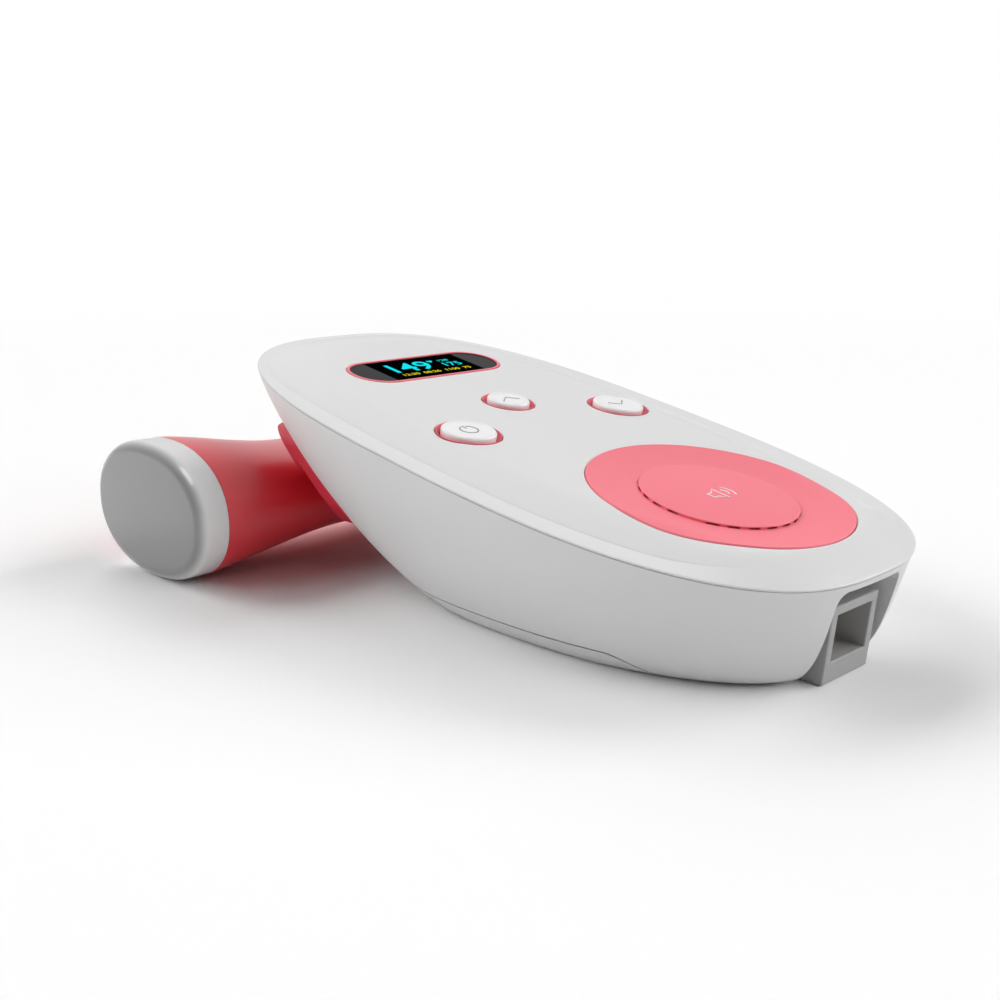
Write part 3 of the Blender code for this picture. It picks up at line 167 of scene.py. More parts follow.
SPEAKER_Y = -0.0385994
PANEL_RADIUS = 0.0230
PANEL_THICKNESS = 0.0016
PANEL_EDGE = 0.00015
PANEL_SKIRT_OUTER = 0.0040
PANEL_SKIRT_INNER = 0.0030
PANEL_SKIRT_HEIGHT = 0.002
DISH_DEPTH = 0.0010
DISH_POWER = 1.25
DISC_RADIUS = 0.0138
DISC_RISE = 0.00045
DISC_EDGE = 0.00016
SLOT_DEPTH = 0.0006
SLOT_RISE = 0.0003
DISC_CROWN = 0.00015
SLOT_PLACES = 25
SLOT_BLANKS = (5, 20)
SLOT_LENGTH = 0.0021
SLOT_OVERCUT = 0.00008
PANEL_MARK_WIDTH = 0.0003
PANEL_MARK_HEIGHT = 0.00008
PANEL_MARK_SINK = 0.00005
PROBE_Y = 0.06135
PROBE_Z = 0.01373
PROBE_LENGTH = 0.1054
PROBE_HALF_DEPTH = 0.0202
PROBE_HALF_HEIGHT = 0.01373
PROBE_POWER = 2.2
WAIST_HALF_LENGTH = 0.0120
WAIST_HALF_DEPTH = 0.0190
WAIST_HALF_HEIGHT = 0.0089
WAIST_POWER = 1.4
PROBE_WALL = 0.0020
CAP_LENGTH = 0.0065
CAP_EDGE = 0.0025
CAP_SEAM_EDGE = 0.00012
# Run of the painted shade from the sensing cap's flat end over its rounded edge
CAP_SHADE_RUN = 0.0020
CAP_WALL = 0.0015
CAP_LIP = 0.0030
INLET_RADIUS = 0.0042
INLET_BORE = 0.0020
BUSHING_PROUD = 0.0013
BUSHING_LENGTH = 0.006
BUSHING_FLANGE = 0.0012
BUSHING_EDGE = 0.0004

# Numbers of facets
EDGE_STEPS = 8
RIM_POINTS = 192
HULL_TURNS = 40
LINER_TURNS = 12
ROUND_STEPS = 96
PROBE_POINTS = 96
PROBE_STATIONS = 61

# Light: levels of the world; lamps are azimuth, elevation (degrees), strength and whether gloss mirrors them
FILL_LEVEL = 0.07
MIRROR_LEVEL = 0.60
LAMP_WIDTH = 36
LAMPS = (
    (67, 35, 0.33, False),
    (112, 35, 0.43, False),
    (157, 35, 0.13, False),
    (135, 12, 0.09, False),
    (292, 35, 0.31, False),
    (337, 35, 0.40, True),
)
SOFTBOX = (175, 66, 0.30)
SOFTBOX_WIDTH = 34
FLOOR_SIZE = 4
FLOOR_DROP = 0.00005
FLOOR_FADE_START = 0.35
FLOOR_FADE_END = 0.80

# Camera fitted to the photograph
CAMERA_PLACE = (-0.17197, -0.15964, 0.07579)
CAMERA_TURN = (90 - 13.917, 0, -44.623)
FOCAL_SHARE = 1255.97 / 1000
SENSOR_WIDTH = 36

DECK = Matrix.Translation((0, 0, DECK_HEIGHT)) @ Matrix.Rotation(DECK_TILT, 4, "X")
PROBE = Matrix.Translation((0, PROBE_Y, PROBE_Z))


# Meshes

def new_mesh(name, shape, matrix=None, sharp_degrees=30):
    bmesh.ops.recalc_face_normals(shape, faces=shape.faces)
    mesh = bpy.data.meshes.new(name)
    shape.to_mesh(mesh)
    shape.free()
    if matrix is not None:
        mesh.transform(matrix)
    mesh.shade_smooth()
    mesh.set_sharp_from_angle(angle=math.radians(sharp_degrees))
    return mesh


def new_piece(name, mesh):
    piece = bpy.data.objects.new(name, mesh)
    bpy.context.scene.collection.objects.link(piece)
    return piece


def loft(name, rings, matrix=None, closed=False):
    """Skin over rings of equal point counts; capped at both ends, or closed into a loop of rings."""
    shape = bmesh.new()
    rows = [[shape.verts.new(point) for point in ring] for ring in rings]
    pairs = list(zip(rows, rows[1:]))
    if closed:
        pairs.append((rows[-1], rows[0]))
    for lower, upper in pairs:
        for k in range(len(lower)):
            shape.faces.new((lower[k - 1], lower[k], upper[k], upper[k - 1]))
    if not closed:
        shape.faces.new(rows[0])
        shape.faces.new(rows[-1])
    return new_piece(name, new_mesh(name, shape, matrix))


def prisms(name, outlines, low, high, axis="Z", matrix=None):
    """One object of flat outlines made solid between two heights along an axis."""
    shape = bmesh.new()
    for outline in outlines:
        bottom, top = [], []
        for first, second in outline:
            for level, row in ((low, bottom), (high, top)):
                spots = {"Z": (first, second, level), "X": (level, first, second), "Y": (first, level, second)}
                row.append(shape.verts.new(spots[axis]))
        shape.faces.new(bottom)
        shape.faces.new(top)
        for k in range(len(outline)):
            shape.faces.new((bottom[k - 1], bottom[k], top[k], top[k - 1]))
    return new_piece(name, new_mesh(name, shape, matrix))


def box(name, low, high, matrix=None):
    outline = [(low[0], low[1]), (high[0], low[1]), (high[0], high[1]), (low[0], high[1])]
    return prisms(name, [outline], low[2], high[2], matrix=matrix)


def turned(name, profile, matrix, steps=ROUND_STEPS, ring=False):
    """Solid of revolution of (radius, height) points about Z, then placed by a matrix."""
    shape = bmesh.new()
    rows = []
    for radius, height in profile:
        if radius == 0:
            rows.append([shape.verts.new((0, 0, height))])
            continue
        row = []
        for k in range(steps):
            angle = math.tau * k / steps
            row.append(shape.verts.new((radius * math.cos(angle), radius * math.sin(angle), height)))
        rows.append(row)
    pairs = list(zip(rows, rows[1:]))
    if ring:
        pairs.append((rows[-1], rows[0]))
    for upper, lower in pairs:
        for k in range(steps):
            corners = []
            for row, ends in ((upper, (k - 1, k)), (lower, (k, k - 1))):
                for end in ends if len(row) > 1 else (0,):
                    corners.append(row[end])
            shape.faces.new(corners)
    return new_piece(name, new_mesh(name, shape, matrix))


def rod(name, radius, low, high, matrix, steps=ROUND_STEPS):
    return turned(name, [(0, high), (radius, high), (radius, low), (0, low)], matrix, steps)


def carve(piece, tool, operation="DIFFERENCE"):
    """Boolean of a piece with a tool, which is used up."""
    step = piece.modifiers.new("carve", "BOOLEAN")
    step.solver = "EXACT"
    step.operation = operation
    step.object = tool
    graph = bpy.context.evaluated_depsgraph_get()
    made = bpy.data.meshes.new_from_object(piece.evaluated_get(graph))
    piece.modifiers.clear()
    old = piece.data
    made.name = old.name
    piece.data = made
    bpy.data.meshes.remove(old)
    bpy.data.meshes.remove(tool.data)
    made.shade_smooth()
    made.set_sharp_from_angle(angle=math.radians(30))


def round_edges(piece, width, segments=3, degrees=50):
    bevel = piece.modifiers.new("round_edges", "BEVEL")
    bevel.width = width
    bevel.segments = segments
    bevel.limit_method = "ANGLE"
    bevel.angle_limit = math.radians(degrees)
    bevel.harden_normals = True


# Outlines

def oval_point(angle, half_width, half_length, power):
    across, along = math.sin(angle), math.cos(angle)
    x = half_width * math.copysign(abs(across) ** (2 / power), across)
    y = half_length * math.copysign(abs(along) ** (2 / power), along)
    return x, y


def oval_angles(points, power):
    """Angles that spread the points of a superellipse about evenly."""
    share = power / 2
    angles = []
    for k in range(points):
        turn = math.tau * k / points
        across, along = math.sin(turn), math.cos(turn)
        angles.append(math.atan2(math.copysign(abs(across) ** share, across),
                                 math.copysign(abs(along) ** share, along)))
    return angles


RIM_ANGLES = oval_angles(RIM_POINTS, 2.35)
PROBE_ANGLES = oval_angles(PROBE_POINTS, 2.1)


def head_share(angle):
    return max(math.cos(angle), 0) ** 2


def foot_share(angle):
    return max(-math.cos(angle), 0) ** 2


def rim_ring(inset, height, head_inset=0.0):
    ring = []
    for angle in RIM_ANGLES:
        drawn = inset + head_inset * head_share(angle)
        x, y = oval_point(angle, BODY_WIDTH / 2 - drawn, BODY_LENGTH / 2 - drawn, OUTLINE_POWER)
        ring.append((x, y, height))
    return ring


def hull_point(angle, turn, inset, floor):
    rim_x, rim_y = oval_point(angle, BODY_WIDTH / 2 - inset, BODY_LENGTH / 2 - inset, OUTLINE_POWER)
    rim = DECK @ Vector((rim_x, rim_y, -SEAM_HALF))
    belly_x, belly_y = oval_point(angle, BELLY_WIDTH / 2 - inset, BELLY_LENGTH / 2 - inset, BELLY_POWER)
    head, foot = head_share(angle), foot_share(angle)
    shares = (1 - head - foot, head, foot)
    draw = sum(share * power for share, power in zip(shares, DRAW_POWERS))
    drop = sum(share * power for share, power in zip(shares, DROP_POWERS))
    inward = 1 - max(math.cos(turn), 0) ** draw
    down = math.sin(turn) ** drop
    return Vector((rim.x + (belly_x - rim.x) * inward,
                   rim.y + (belly_y + BELLY_CENTRE_Y - rim.y) * inward,
                   rim.z + (floor - rim.z) * down))


def hull_rings(inset, floor, turns):
    return [[hull_point(angle, math.pi / 2 * step / turns, inset, floor) for angle in RIM_ANGLES]
            for step in range(turns + 1)]


def hull_solid(name, inset, turns=HULL_TURNS):
    return loft(name, hull_rings(inset, inset, turns))


def pill(half_straight, radius, centre_y, steps=24):
    outline = []
    for side in (1, -1):
        for k in range(steps + 1):
            angle = math.pi * k / steps - math.pi / 2
            outline.append((side * (half_straight + radius * math.cos(angle)),
                            centre_y + side * radius * math.sin(angle)))
    return outline


def rounded(half_width, low, high, radius, steps=10):
    outline = []
    corners = ((half_width, high, 0), (-half_width, high, 1), (-half_width, low, 2), (half_width, low, 3))
    for first, second, quarter in corners:
        centre_first = first - math.copysign(radius, first)
        centre_second = second - radius if quarter < 2 else second + radius
        for k in range(steps + 1):
            angle = math.pi / 2 * (quarter + k / steps)
            outline.append((centre_first + radius * math.cos(angle), centre_second + radius * math.sin(angle)))
    return outline


# Materials

def node(tree, kind, **values):
    made = tree.nodes.new(kind)
    for key, value in values.items():
        setattr(made, key, value)
    return made


def moulded(name, colour, roughness, coat=0.0, grain=0.02, grain_scale=4200, shade=0.03, metallic=0.0,
            shine=0.5, coat_roughness=0.06):
    """Moulded plastic or metal: fine grain in the surface, faint clouds in its colour and gloss."""
    made = bpy.data.materials.new(name)
    made.use_nodes = True
    tree = made.node_tree
    shader = tree.nodes["Principled BSDF"]
    place = node(tree, "ShaderNodeTexCoord")
    clouds = node(tree, "ShaderNodeTexNoise")
    clouds.inputs["Scale"].default_value = 55
    clouds.inputs["Detail"].default_value = 3
    fine = node(tree, "ShaderNodeTexNoise")
    fine.inputs["Scale"].default_value = grain_scale
    fine.inputs["Detail"].default_value = 2
    for texture in (clouds, fine):
        tree.links.new(place.outputs["Object"], texture.inputs["Vector"])
    tint = node(tree, "ShaderNodeValToRGB")
    tint.color_ramp.elements[0].position = 0.3
    tint.color_ramp.elements[1].position = 0.7
    tint.color_ramp.elements[0].color = [c * (1 - shade) for c in colour] + [1]
    tint.color_ramp.elements[1].color = list(colour) + [1]
    tree.links.new(clouds.outputs["Fac"], tint.inputs["Fac"])
    tree.links.new(tint.outputs["Color"], shader.inputs["Base Color"])
    gloss = node(tree, "ShaderNodeMapRange")
    gloss.inputs["To Min"].default_value = roughness * 0.92
    gloss.inputs["To Max"].default_value = roughness * 1.10
    tree.links.new(fine.outputs["Fac"], gloss.inputs["Value"])
    tree.links.new(gloss.outputs["Result"], shader.inputs["Roughness"])
    bump = node(tree, "ShaderNodeBump")
    bump.inputs["Strength"].default_value = grain
    bump.inputs["Distance"].default_value = 0.0001
    tree.links.new(fine.outputs["Fac"], bump.inputs["Height"])
    tree.links.new(bump.outputs["Normal"], shader.inputs["Normal"])
    shader.inputs["Metallic"].default_value = metallic
    shader.inputs["Specular IOR Level"].default_value = shine
    shader.inputs["Coat Weight"].default_value = coat
    shader.inputs["Coat Roughness"].default_value = coat_roughness
    return made


def painted_shade_blend(name, shell, core, start, end):
    """Plastic with painted shade: its colour runs from a darker painted-shade tone on the flat end to its shell
    tone along the probe, over its rounded edge.
    """
    made = moulded(name, shell, 0.30, coat=1.0, grain=0.004, shade=0.01, coat_roughness=0.10)
    tree = made.node_tree
    shader = tree.nodes["Principled BSDF"]
    old = shader.inputs["Base Color"].links[0].from_socket
    place = node(tree, "ShaderNodeTexCoord")
    split = node(tree, "ShaderNodeSeparateXYZ")
    tree.links.new(place.outputs["Object"], split.inputs["Vector"])
    run = node(tree, "ShaderNodeMapRange")
    run.interpolation_type = "SMOOTHSTEP"
    run.inputs["From Min"].default_value = start
    run.inputs["From Max"].default_value = end
    tree.links.new(split.outputs["X"], run.inputs["Value"])
    mix = node(tree, "ShaderNodeMix")
    mix.data_type = "RGBA"
    for socket in mix.inputs:
        if socket.name == "B" and socket.type == "RGBA":
            tree.links.new(old, socket)
        if socket.name == "A" and socket.type == "RGBA":
            socket.default_value = list(core) + [1]
    tree.links.new(run.outputs["Result"], mix.inputs[0])
    tree.links.new([socket for socket in mix.outputs if socket.type == "RGBA"][0], shader.inputs["Base Color"])
    return made


def glowing(name, colour):
    """Lit pixels, slightly uneven in brightness."""
    made = bpy.data.materials.new(name)
    made.use_nodes = True
    tree = made.node_tree
    shader = tree.nodes["Principled BSDF"]
    place = node(tree, "ShaderNodeTexCoord")
    grid = node(tree, "ShaderNodeTexNoise")
    grid.inputs["Scale"].default_value = 5200
    tree.links.new(place.outputs["Object"], grid.inputs["Vector"])
    ramp = node(tree, "ShaderNodeValToRGB")
    ramp.color_ramp.elements[0].color = [c * 0.85 for c in colour] + [1]
    ramp.color_ramp.elements[1].color = list(colour) + [1]
    tree.links.new(grid.outputs["Fac"], ramp.inputs["Fac"])
    tree.links.new(ramp.outputs["Color"], shader.inputs["Emission Color"])
    shader.inputs["Emission Strength"].default_value = 1.0
    shader.inputs["Base Color"].default_value = (0.01, 0.01, 0.01, 1)
    shader.inputs["Roughness"].default_value = 0.3
    shader.inputs["Specular IOR Level"].default_value = 0.0
    return made


LOOKS = {
    "cover_white": moulded("cover_white_plastic", (0.81, 0.81, 0.81), 0.42, coat=0.5, shade=0.012, shine=0.25),
    # The housing is the cover's white plastic written a little greyer: painted shade for the sides under the
    # deck.
    "housing_white": moulded("housing_white_painted_shade", (0.74, 0.74, 0.74), 0.45, shade=0.015),
    "key_white": moulded("key_white_plastic", (0.99, 0.99, 0.99), 0.30, coat=0.4, grain=0.004, shade=0.01),
    "coral": moulded("coral_plastic", (1.0, 0.215, 0.27), 0.40, shade=0.02),
    "handle_coral": moulded("handle_coral_plastic", (0.84, 0.022, 0.041), 0.42, coat=0.9, shine=0.9,
                            coat_roughness=0.25),
    "smoked_window": moulded("smoked_window_gloss", (0.020, 0.020, 0.021), 0.12, grain=0.002, shine=0.03),
    "oled_glass": moulded("oled_glass_gloss", (0.006, 0.006, 0.007), 0.10, coat=0.5, grain=0.002),
    "black_plastic": moulded("black_inner_plastic", (0.03, 0.03, 0.03), 0.5),
    "board_green": moulded("board_green_mask", (0.02, 0.16, 0.07), 0.42, shade=0.2),
    "steel": moulded("bright_steel", (0.62, 0.62, 0.64), 0.28, metallic=1.0),
    "magnet_metal": moulded("plated_magnet", (0.55, 0.55, 0.57), 0.22, metallic=1.0),
    "foam": moulded("gasket_foam", (0.03, 0.03, 0.03), 0.95, grain=0.5, grain_scale=1500),
    "cone_paper": moulded("speaker_paper", (0.05, 0.05, 0.055), 0.85, grain=0.4, grain_scale=900),
    "cell_wrap": moulded("cell_wrapper", (0.10, 0.11, 0.14), 0.32, coat=0.3),
    "brass": moulded("pin_brass", (0.75, 0.52, 0.22), 0.30, metallic=1.0),
    "piezo_ceramic": moulded("crystal_ceramic", (0.72, 0.68, 0.58), 0.5, shade=0.08),
    "cork": moulded("absorber_cork", (0.36, 0.22, 0.11), 0.9, grain=0.6, grain_scale=700, shade=0.5),
    "rubber_grey": moulded("bushing_rubber", (0.10, 0.10, 0.105), 0.62, grain=0.1),
}
RING_CORAL = moulded("ring_coral_plastic", (0.74, 0.095, 0.135), 0.42, shade=0.02)
# The cradle's coral is written darker than the plastic it is made of: painted shade for its place between the
# hull and the probe.
CRADLE_PAINTED_SHADE = moulded("cradle_coral_painted_shade", (0.60, 0.030, 0.055), 0.36)
SOCKET_GREY = moulded("socket_grey_plastic", (0.42, 0.42, 0.42), 0.45, shade=0.02)
# The far cap is the caps' white plastic written darker: painted shade that holds it back under the lamps.
END_CAP_PAINTED_SHADE = moulded("far_end_cap_painted_shade", (0.76, 0.76, 0.76), 0.32, coat=0.4, shade=0.01)
MARK_GREY = moulded("key_mark_ink", (0.30, 0.30, 0.31), 0.5)
MARK_WHITE = moulded("panel_mark_ink", (0.92, 0.90, 0.90), 0.5)
# The sensing cap is white plastic; its grey end face and the run over its rounded edge are painted shade.
SENSING_CAP_PAINTED_SHADE = painted_shade_blend("sensing_face_painted_shade", (0.83, 0.83, 0.83), (0.225, 0.225, 0.225), -PROBE_LENGTH / 2,
                   CAP_SHADE_RUN - PROBE_LENGTH / 2)
SCREEN_BLACK = moulded("screen_black", (0.001, 0.001, 0.001), 0.4, grain=0.002, shine=0)
CYAN = glowing("lit_cyan", (0.0, 0.85, 0.95))
YELLOW = glowing("lit_yellow", (0.95, 0.85, 0.0))


def dress(piece, slot, body, *nodes, look=None):
    """Finish, body and CAD nodes of a piece that is in place."""
    piece.data.materials.clear()
    piece.data.materials.append(look or LOOKS[slot])
    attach(piece, body)
    if nodes:
        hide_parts(*nodes)
    return piece


# Body and its deck

def smooth(share):
    share = min(max(share, 0), 1)
    return share * share * (3 - 2 * share)


def foot_blend(angle):
    """Share of the foot's plain round in the deck's skin."""
    return smooth((foot_share(angle) - FOOT_BLEND_START) / FOOT_BLEND_SPAN)


def crease_inset(angle):
    """The rim band narrows round the head."""
    return CREASE_INSET + (HEAD_CREASE_INSET - CREASE_INSET) * smooth(head_share(angle) / HEAD_NARROWING)


def foot_height(inset):
    """At the foot the deck rounds over straight to its edge, with no band."""
    run = min(max((FOOT_SHOULDER_INSET - inset) / (FOOT_SHOULDER_INSET - RIM_ROUND), 0), 1)
    return DECK_RISE - (DECK_RISE - RIM_TOP) * run ** FOOT_POWER


def deck_height(inset, angle):
    """Height of the deck's skin: flat in the middle, falling to its crease, and to the edge at the foot."""
    run = min(max((SHOULDER_INSET - inset) / (SHOULDER_INSET - crease_inset(angle)), 0), 1)
    side = DECK_RISE - (DECK_RISE - CREASE_HEIGHT) * run ** SHOULDER_POWER
    return side + (foot_height(inset) - side) * foot_blend(angle)


def deck_fall(x, y):
    """How far the deck's skin lies below its flat middle at a place."""
    low, high = 0.0, SHOULDER_INSET
    for _ in range(30):
        inset = (low + high) / 2
        across = abs(x) / (BODY_WIDTH / 2 - inset)
        along = abs(y) / (BODY_LENGTH / 2 - inset)
        if across ** OUTLINE_POWER + along ** OUTLINE_POWER < 1:
            low = inset
        else:
            high = inset
    share = OUTLINE_POWER / 2
    across = abs(x / (BODY_WIDTH / 2 - low)) ** share
    along = math.copysign(abs(y / (BODY_LENGTH / 2 - low)) ** share, y)
    return DECK_RISE - deck_height(low, math.atan2(across, along))


def lay_on_deck(piece):
    """Lowers a piece's skin with the deck's, square to the deck."""
    to_deck = DECK.inverted()
    for vertex in piece.data.vertices:
        spot = to_deck @ vertex.co
        vertex.co = DECK @ Vector((spot.x, spot.y, spot.z - deck_fall(spot.x, spot.y)))
    return piece


def deck_ring(place):
    """Ring of the deck's skin: place 0 is where the shoulder starts, 1 its crease."""
    ring = []
    for angle in RIM_ANGLES:
        inset = SHOULDER_INSET + (crease_inset(angle) - SHOULDER_INSET) * place
        x, y = oval_point(angle, BODY_WIDTH / 2 - inset, BODY_LENGTH / 2 - inset, OUTLINE_POWER)
        ring.append((x, y, deck_height(inset, angle)))
    return ring


def band_ring(place, outward, height):
    """Ring of the rim band: place 1 is the crease, 0 the rounded edge; it melts into the round of the foot."""
    ring = []
    for angle in RIM_ANGLES:
        inset = RIM_ROUND + (crease_inset(angle) - RIM_ROUND) * place - outward
        x, y = oval_point(angle, BODY_WIDTH / 2 - inset, BODY_LENGTH / 2 - inset, OUTLINE_POWER)
        ring.append((x, y, height + (foot_height(inset) - height) * foot_blend(angle)))
    return ring


def flared(outline, low, matrix, name):
    """Tool for an opening of the deck whose edge is rounded; the outline is a function of a growth."""
    shape = bmesh.new()
    levels = [(0, low)]
    steps = 6
    for k in range(steps + 1):
        angle = math.pi / 2 * k / steps
        levels.append((OPENING_ROUND * (1 - math.cos(angle)),
                       DECK_RISE - OPENING_ROUND * (1 - math.sin(angle))))
    levels.append((OPENING_ROUND, DECK_RISE + OVERRUN))
    rows = [[shape.verts.new((x, y, level)) for x, y in outline(growth)] for growth, level in levels]
    for lower, upper in zip(rows, rows[1:]):
        for k in range(len(lower)):
            shape.faces.new((lower[k - 1], lower[k], upper[k], upper[k - 1]))
    shape.faces.new(rows[0])
    shape.faces.new(rows[-1])
    return lay_on_deck(new_piece(name, new_mesh(name, shape, matrix)))


def disc_outline(radius, x, y):
    """Round outline as a function of its growth."""
    return lambda growth: [((radius + growth) * math.cos(math.tau * k / ROUND_STEPS) + x,
                            (radius + growth) * math.sin(math.tau * k / ROUND_STEPS) + y)
                           for k in range(ROUND_STEPS)]


def pill_outline(radius):
    """Outline round the display as a function of its growth."""
    return lambda growth: pill(DISPLAY_HALF_STRAIGHT, radius + growth, DISPLAY_Y)


def make_cover():
    seam = SEAM_HALF
    ceiling = DECK_RISE - COVER_WALL
    steps = 12
    rings = [deck_ring(k / steps) for k in range(steps + 1)]
    low = CREASE_HEIGHT - CREASE_DROP
    crease_steps = 6
    for k in range(1, crease_steps + 1):
        rings.append(band_ring(1, CREASE_RUN * k / crease_steps,
                               CREASE_HEIGHT - CREASE_DROP * smooth(k / crease_steps)))
    for place in (0.8, 0.5, 0.2):
        rings.append(band_ring(place, 0, RIM_TOP + (low - RIM_TOP) * place))
    for k in range(EDGE_STEPS + 1):
        angle = math.pi / 2 * k / EDGE_STEPS
        rings.append(rim_ring(RIM_ROUND * (1 - math.sin(angle)),
                              RIM_TOP - RIM_ROUND * (1 - math.cos(angle))))
    rings += [
        rim_ring(SEAM_EDGE, seam + SEAM_EDGE),
        rim_ring(SEAM_EDGE_INSET, seam),
        rim_ring(LIP_OUTER, seam, LIP_HEAD_INSET),
        rim_ring(LIP_OUTER, -LIP_HEIGHT, LIP_HEAD_INSET),
        rim_ring(LIP_INNER, -LIP_HEIGHT, LIP_HEAD_INSET),
    ]
    for share in (0, 0.2, 0.45, 0.7, 1):
        inset = LIP_INNER + (SHOULDER_INSET - LIP_INNER) * share
        run = (SHOULDER_INSET - inset) / (SHOULDER_INSET - CREASE_INSET)
        fall = (DECK_RISE - CREASE_HEIGHT) * run ** SHOULDER_POWER
        rings.append(rim_ring(inset, ceiling - fall * INNER_FALL, LIP_HEAD_INSET))
    cover = loft("cover_shell", rings, DECK)
    half = NOTCH_WIDTH / 2 + NOTCH_WALL + GAP
    carve(cover, box("lip_gap", (-half, -BODY_LENGTH, -LIP_HEIGHT - OVERRUN), (half, NOTCH_BACK_Y, seam), DECK))
    low = ceiling - OVERRUN / 2
    carve(cover, flared(disc_outline(PANEL_RADIUS + GAP / 3, 0, SPEAKER_Y), low, DECK, "speaker_hole"))
    for name, x, y, radius in KEYS:
        carve(cover, flared(disc_outline(radius + GAP / 3, x, y), low, DECK, f"{name}_hole"))
    carve(cover, flared(pill_outline(DISPLAY_RADIUS + GAP / 4), low, DECK, "display_hole"))
    even = cover.modifiers.new("even_normals", "WEIGHTED_NORMAL")
    even.weight = 100
    even.keep_sharp = True
    dress(cover, "cover_white", "main_unit", "top_cover")


def door_region(name, clearance):
    seam = DOOR_SEAM_HEIGHT + clearance
    foot = DOOR_FOOT_Y - clearance
    outline = [(DOOR_HEAD_Y, -OVERRUN), (DOOR_HEAD_Y, seam)]
    steps = 24
    for k in range(steps + 1):
        share = k / steps
        outline.append((foot + DOOR_TAIL_LENGTH * (1 - share), seam * (1 + math.cos(math.pi * share)) / 2))
    outline.append((foot, -OVERRUN))
    return prisms(name, [outline], -BODY_WIDTH, BODY_WIDTH, "X")


def cradle_region(name, clearance):
    outline = rounded(CRADLE_HALF_WIDTH + clearance, CRADLE_LOW - clearance, CRADLE_HIGH + clearance,
                      CRADLE_CORNER)
    return prisms(name, [outline], CRADLE_BACK_Y - clearance, CRADLE_FRONT_Y, "Y")


def make_housing():
    rings = list(reversed(hull_rings(WALL, FLOOR_TOP, LINER_TURNS))) + hull_rings(0, 0, HULL_TURNS)
    housing = loft("housing_shell", rings)
    walls = rounded(NOTCH_WIDTH / 2 + NOTCH_WALL, FLOOR_TOP - BURY, NOTCH_TOP + NOTCH_ROOF, NOTCH_RADIUS)
    liner = prisms("notch_liner", [walls], -BODY_LENGTH, NOTCH_BACK_Y + NOTCH_WALL, "Y")
    carve(liner, hull_solid("liner_trim", WALL / 2), "INTERSECT")
    carve(housing, liner, "UNION")
    hollow = rounded(NOTCH_WIDTH / 2, -OVERRUN, NOTCH_TOP, NOTCH_RADIUS)
    carve(housing, prisms("notch_hollow", [hollow], -BODY_LENGTH, NOTCH_BACK_Y, "Y"))
    carve(housing, door_region("door_recess", GAP))
    bay = box("bay_hollow", (-BAY_HALF_WIDTH, BAY_FOOT_Y, -OVERRUN),
              (BAY_HALF_WIDTH, BAY_HEAD_Y, FLOOR_TOP + OVERRUN))
    carve(housing, bay)
    recess = cradle_region("cradle_recess", GAP / 2)
    carve(recess, hull_solid("recess_core", CRADLE_SEAT + GAP))
    carve(housing, recess)
    dress(housing, "housing_white", "main_unit", "bottom_housing")


def make_door():
    door = hull_solid("door_shell", 0)
    carve(door, door_region("door_blank", 0), "INTERSECT")
    carve(door, hull_solid("door_core", DOOR_WALL))
    grooves = []
    half = GROOVE_HALF_LENGTH
    for number in range(GROOVE_COUNT):
        low = GROOVE_FIRST_Y + number * GROOVE_PITCH
        high = low + GROOVE_WIDTH
        grooves.append([(-half, low), (half, low), (half, high), (-half, high)])
    carve(door, prisms("grip_grooves", grooves, -OVERRUN, GROOVE_DEPTH))
    dress(door, "housing_white", "door", "battery_door")


def handle_size(x):
    seam = PROBE_LENGTH / 2 - CAP_LENGTH
    run = (seam - abs(x)) / (seam - WAIST_HALF_LENGTH)
    pinch = math.sin(min(max(run, 0), 1) * math.pi / 2) ** WAIST_POWER
    half_depth = PROBE_HALF_DEPTH + (WAIST_HALF_DEPTH - PROBE_HALF_DEPTH) * pinch
    half_height = PROBE_HALF_HEIGHT + (WAIST_HALF_HEIGHT - PROBE_HALF_HEIGHT) * pinch
    return half_depth, half_height


def probe_ring(x, half_depth, half_height):
    ring = []
    for angle in PROBE_ANGLES:
        z, y = oval_point(angle, half_height, half_depth, PROBE_POWER)
        ring.append((x, y, z))
    return ring


def handle_rings(inset):
    end = PROBE_LENGTH / 2 - CAP_LENGTH - GAP / 20
    rings = []
    for k in range(PROBE_STATIONS):
        x = -end * math.cos(math.pi * k / (PROBE_STATIONS - 1))
        half_depth, half_height = handle_size(x)
        rings.append(probe_ring(x, half_depth - inset, half_height - inset))
    return rings


def make_cradle():
    cradle = hull_solid("cradle_saddle", -CRADLE_STAND)
    carve(cradle, cradle_region("cradle_blank", 0), "INTERSECT")
    for side in (-1, 1):
        outline = rounded(EAR_WIDTH / 2, EAR_LOW, CRADLE_HIGH - GAP, EAR_WIDTH / 3)
        shifted = [(x + side * (CRADLE_HALF_WIDTH - EAR_WIDTH / 2), z) for x, z in outline]
        ear = prisms("cradle_ear", [shifted], CRADLE_BACK_Y, PROBE_Y, "Y")
        carve(ear, hull_solid("ear_skin", -EAR_STAND), "INTERSECT")
        carve(cradle, ear, "UNION")
    carve(cradle, hull_solid("cradle_core", CRADLE_SEAT))
    carve(cradle, loft("handle_rest", handle_rings(-GAP), PROBE))
    dress(cradle, "coral", "main_unit", "probe_cradle", look=CRADLE_PAINTED_SHADE)


def make_socket():
    half = SOCKET_WIDTH / 2
    lean = SOCKET_HEIGHT * math.tan(SOCKET_LEAN)
    back = NOTCH_BACK_Y - GAP
    side = [(SOCKET_FRONT_Y, 0), (back, 0), (back, SOCKET_HEIGHT), (SOCKET_FRONT_Y - lean, SOCKET_HEIGHT)]
    socket = prisms("socket_shell", [side], -half, half, "X")
    opening = half - SOCKET_WALL
    carve(socket, box("socket_mouth", (-opening, SOCKET_FRONT_Y - lean - OVERRUN, SOCKET_SILL),
                      (opening, back - SOCKET_BACK_WALL, SOCKET_HEIGHT - SOCKET_WALL)))
    round_edges(socket, SOCKET_EDGE)
    dress(socket, "housing_white", "main_unit", "lead_socket", look=SOCKET_GREY)


# Pieces in the deck

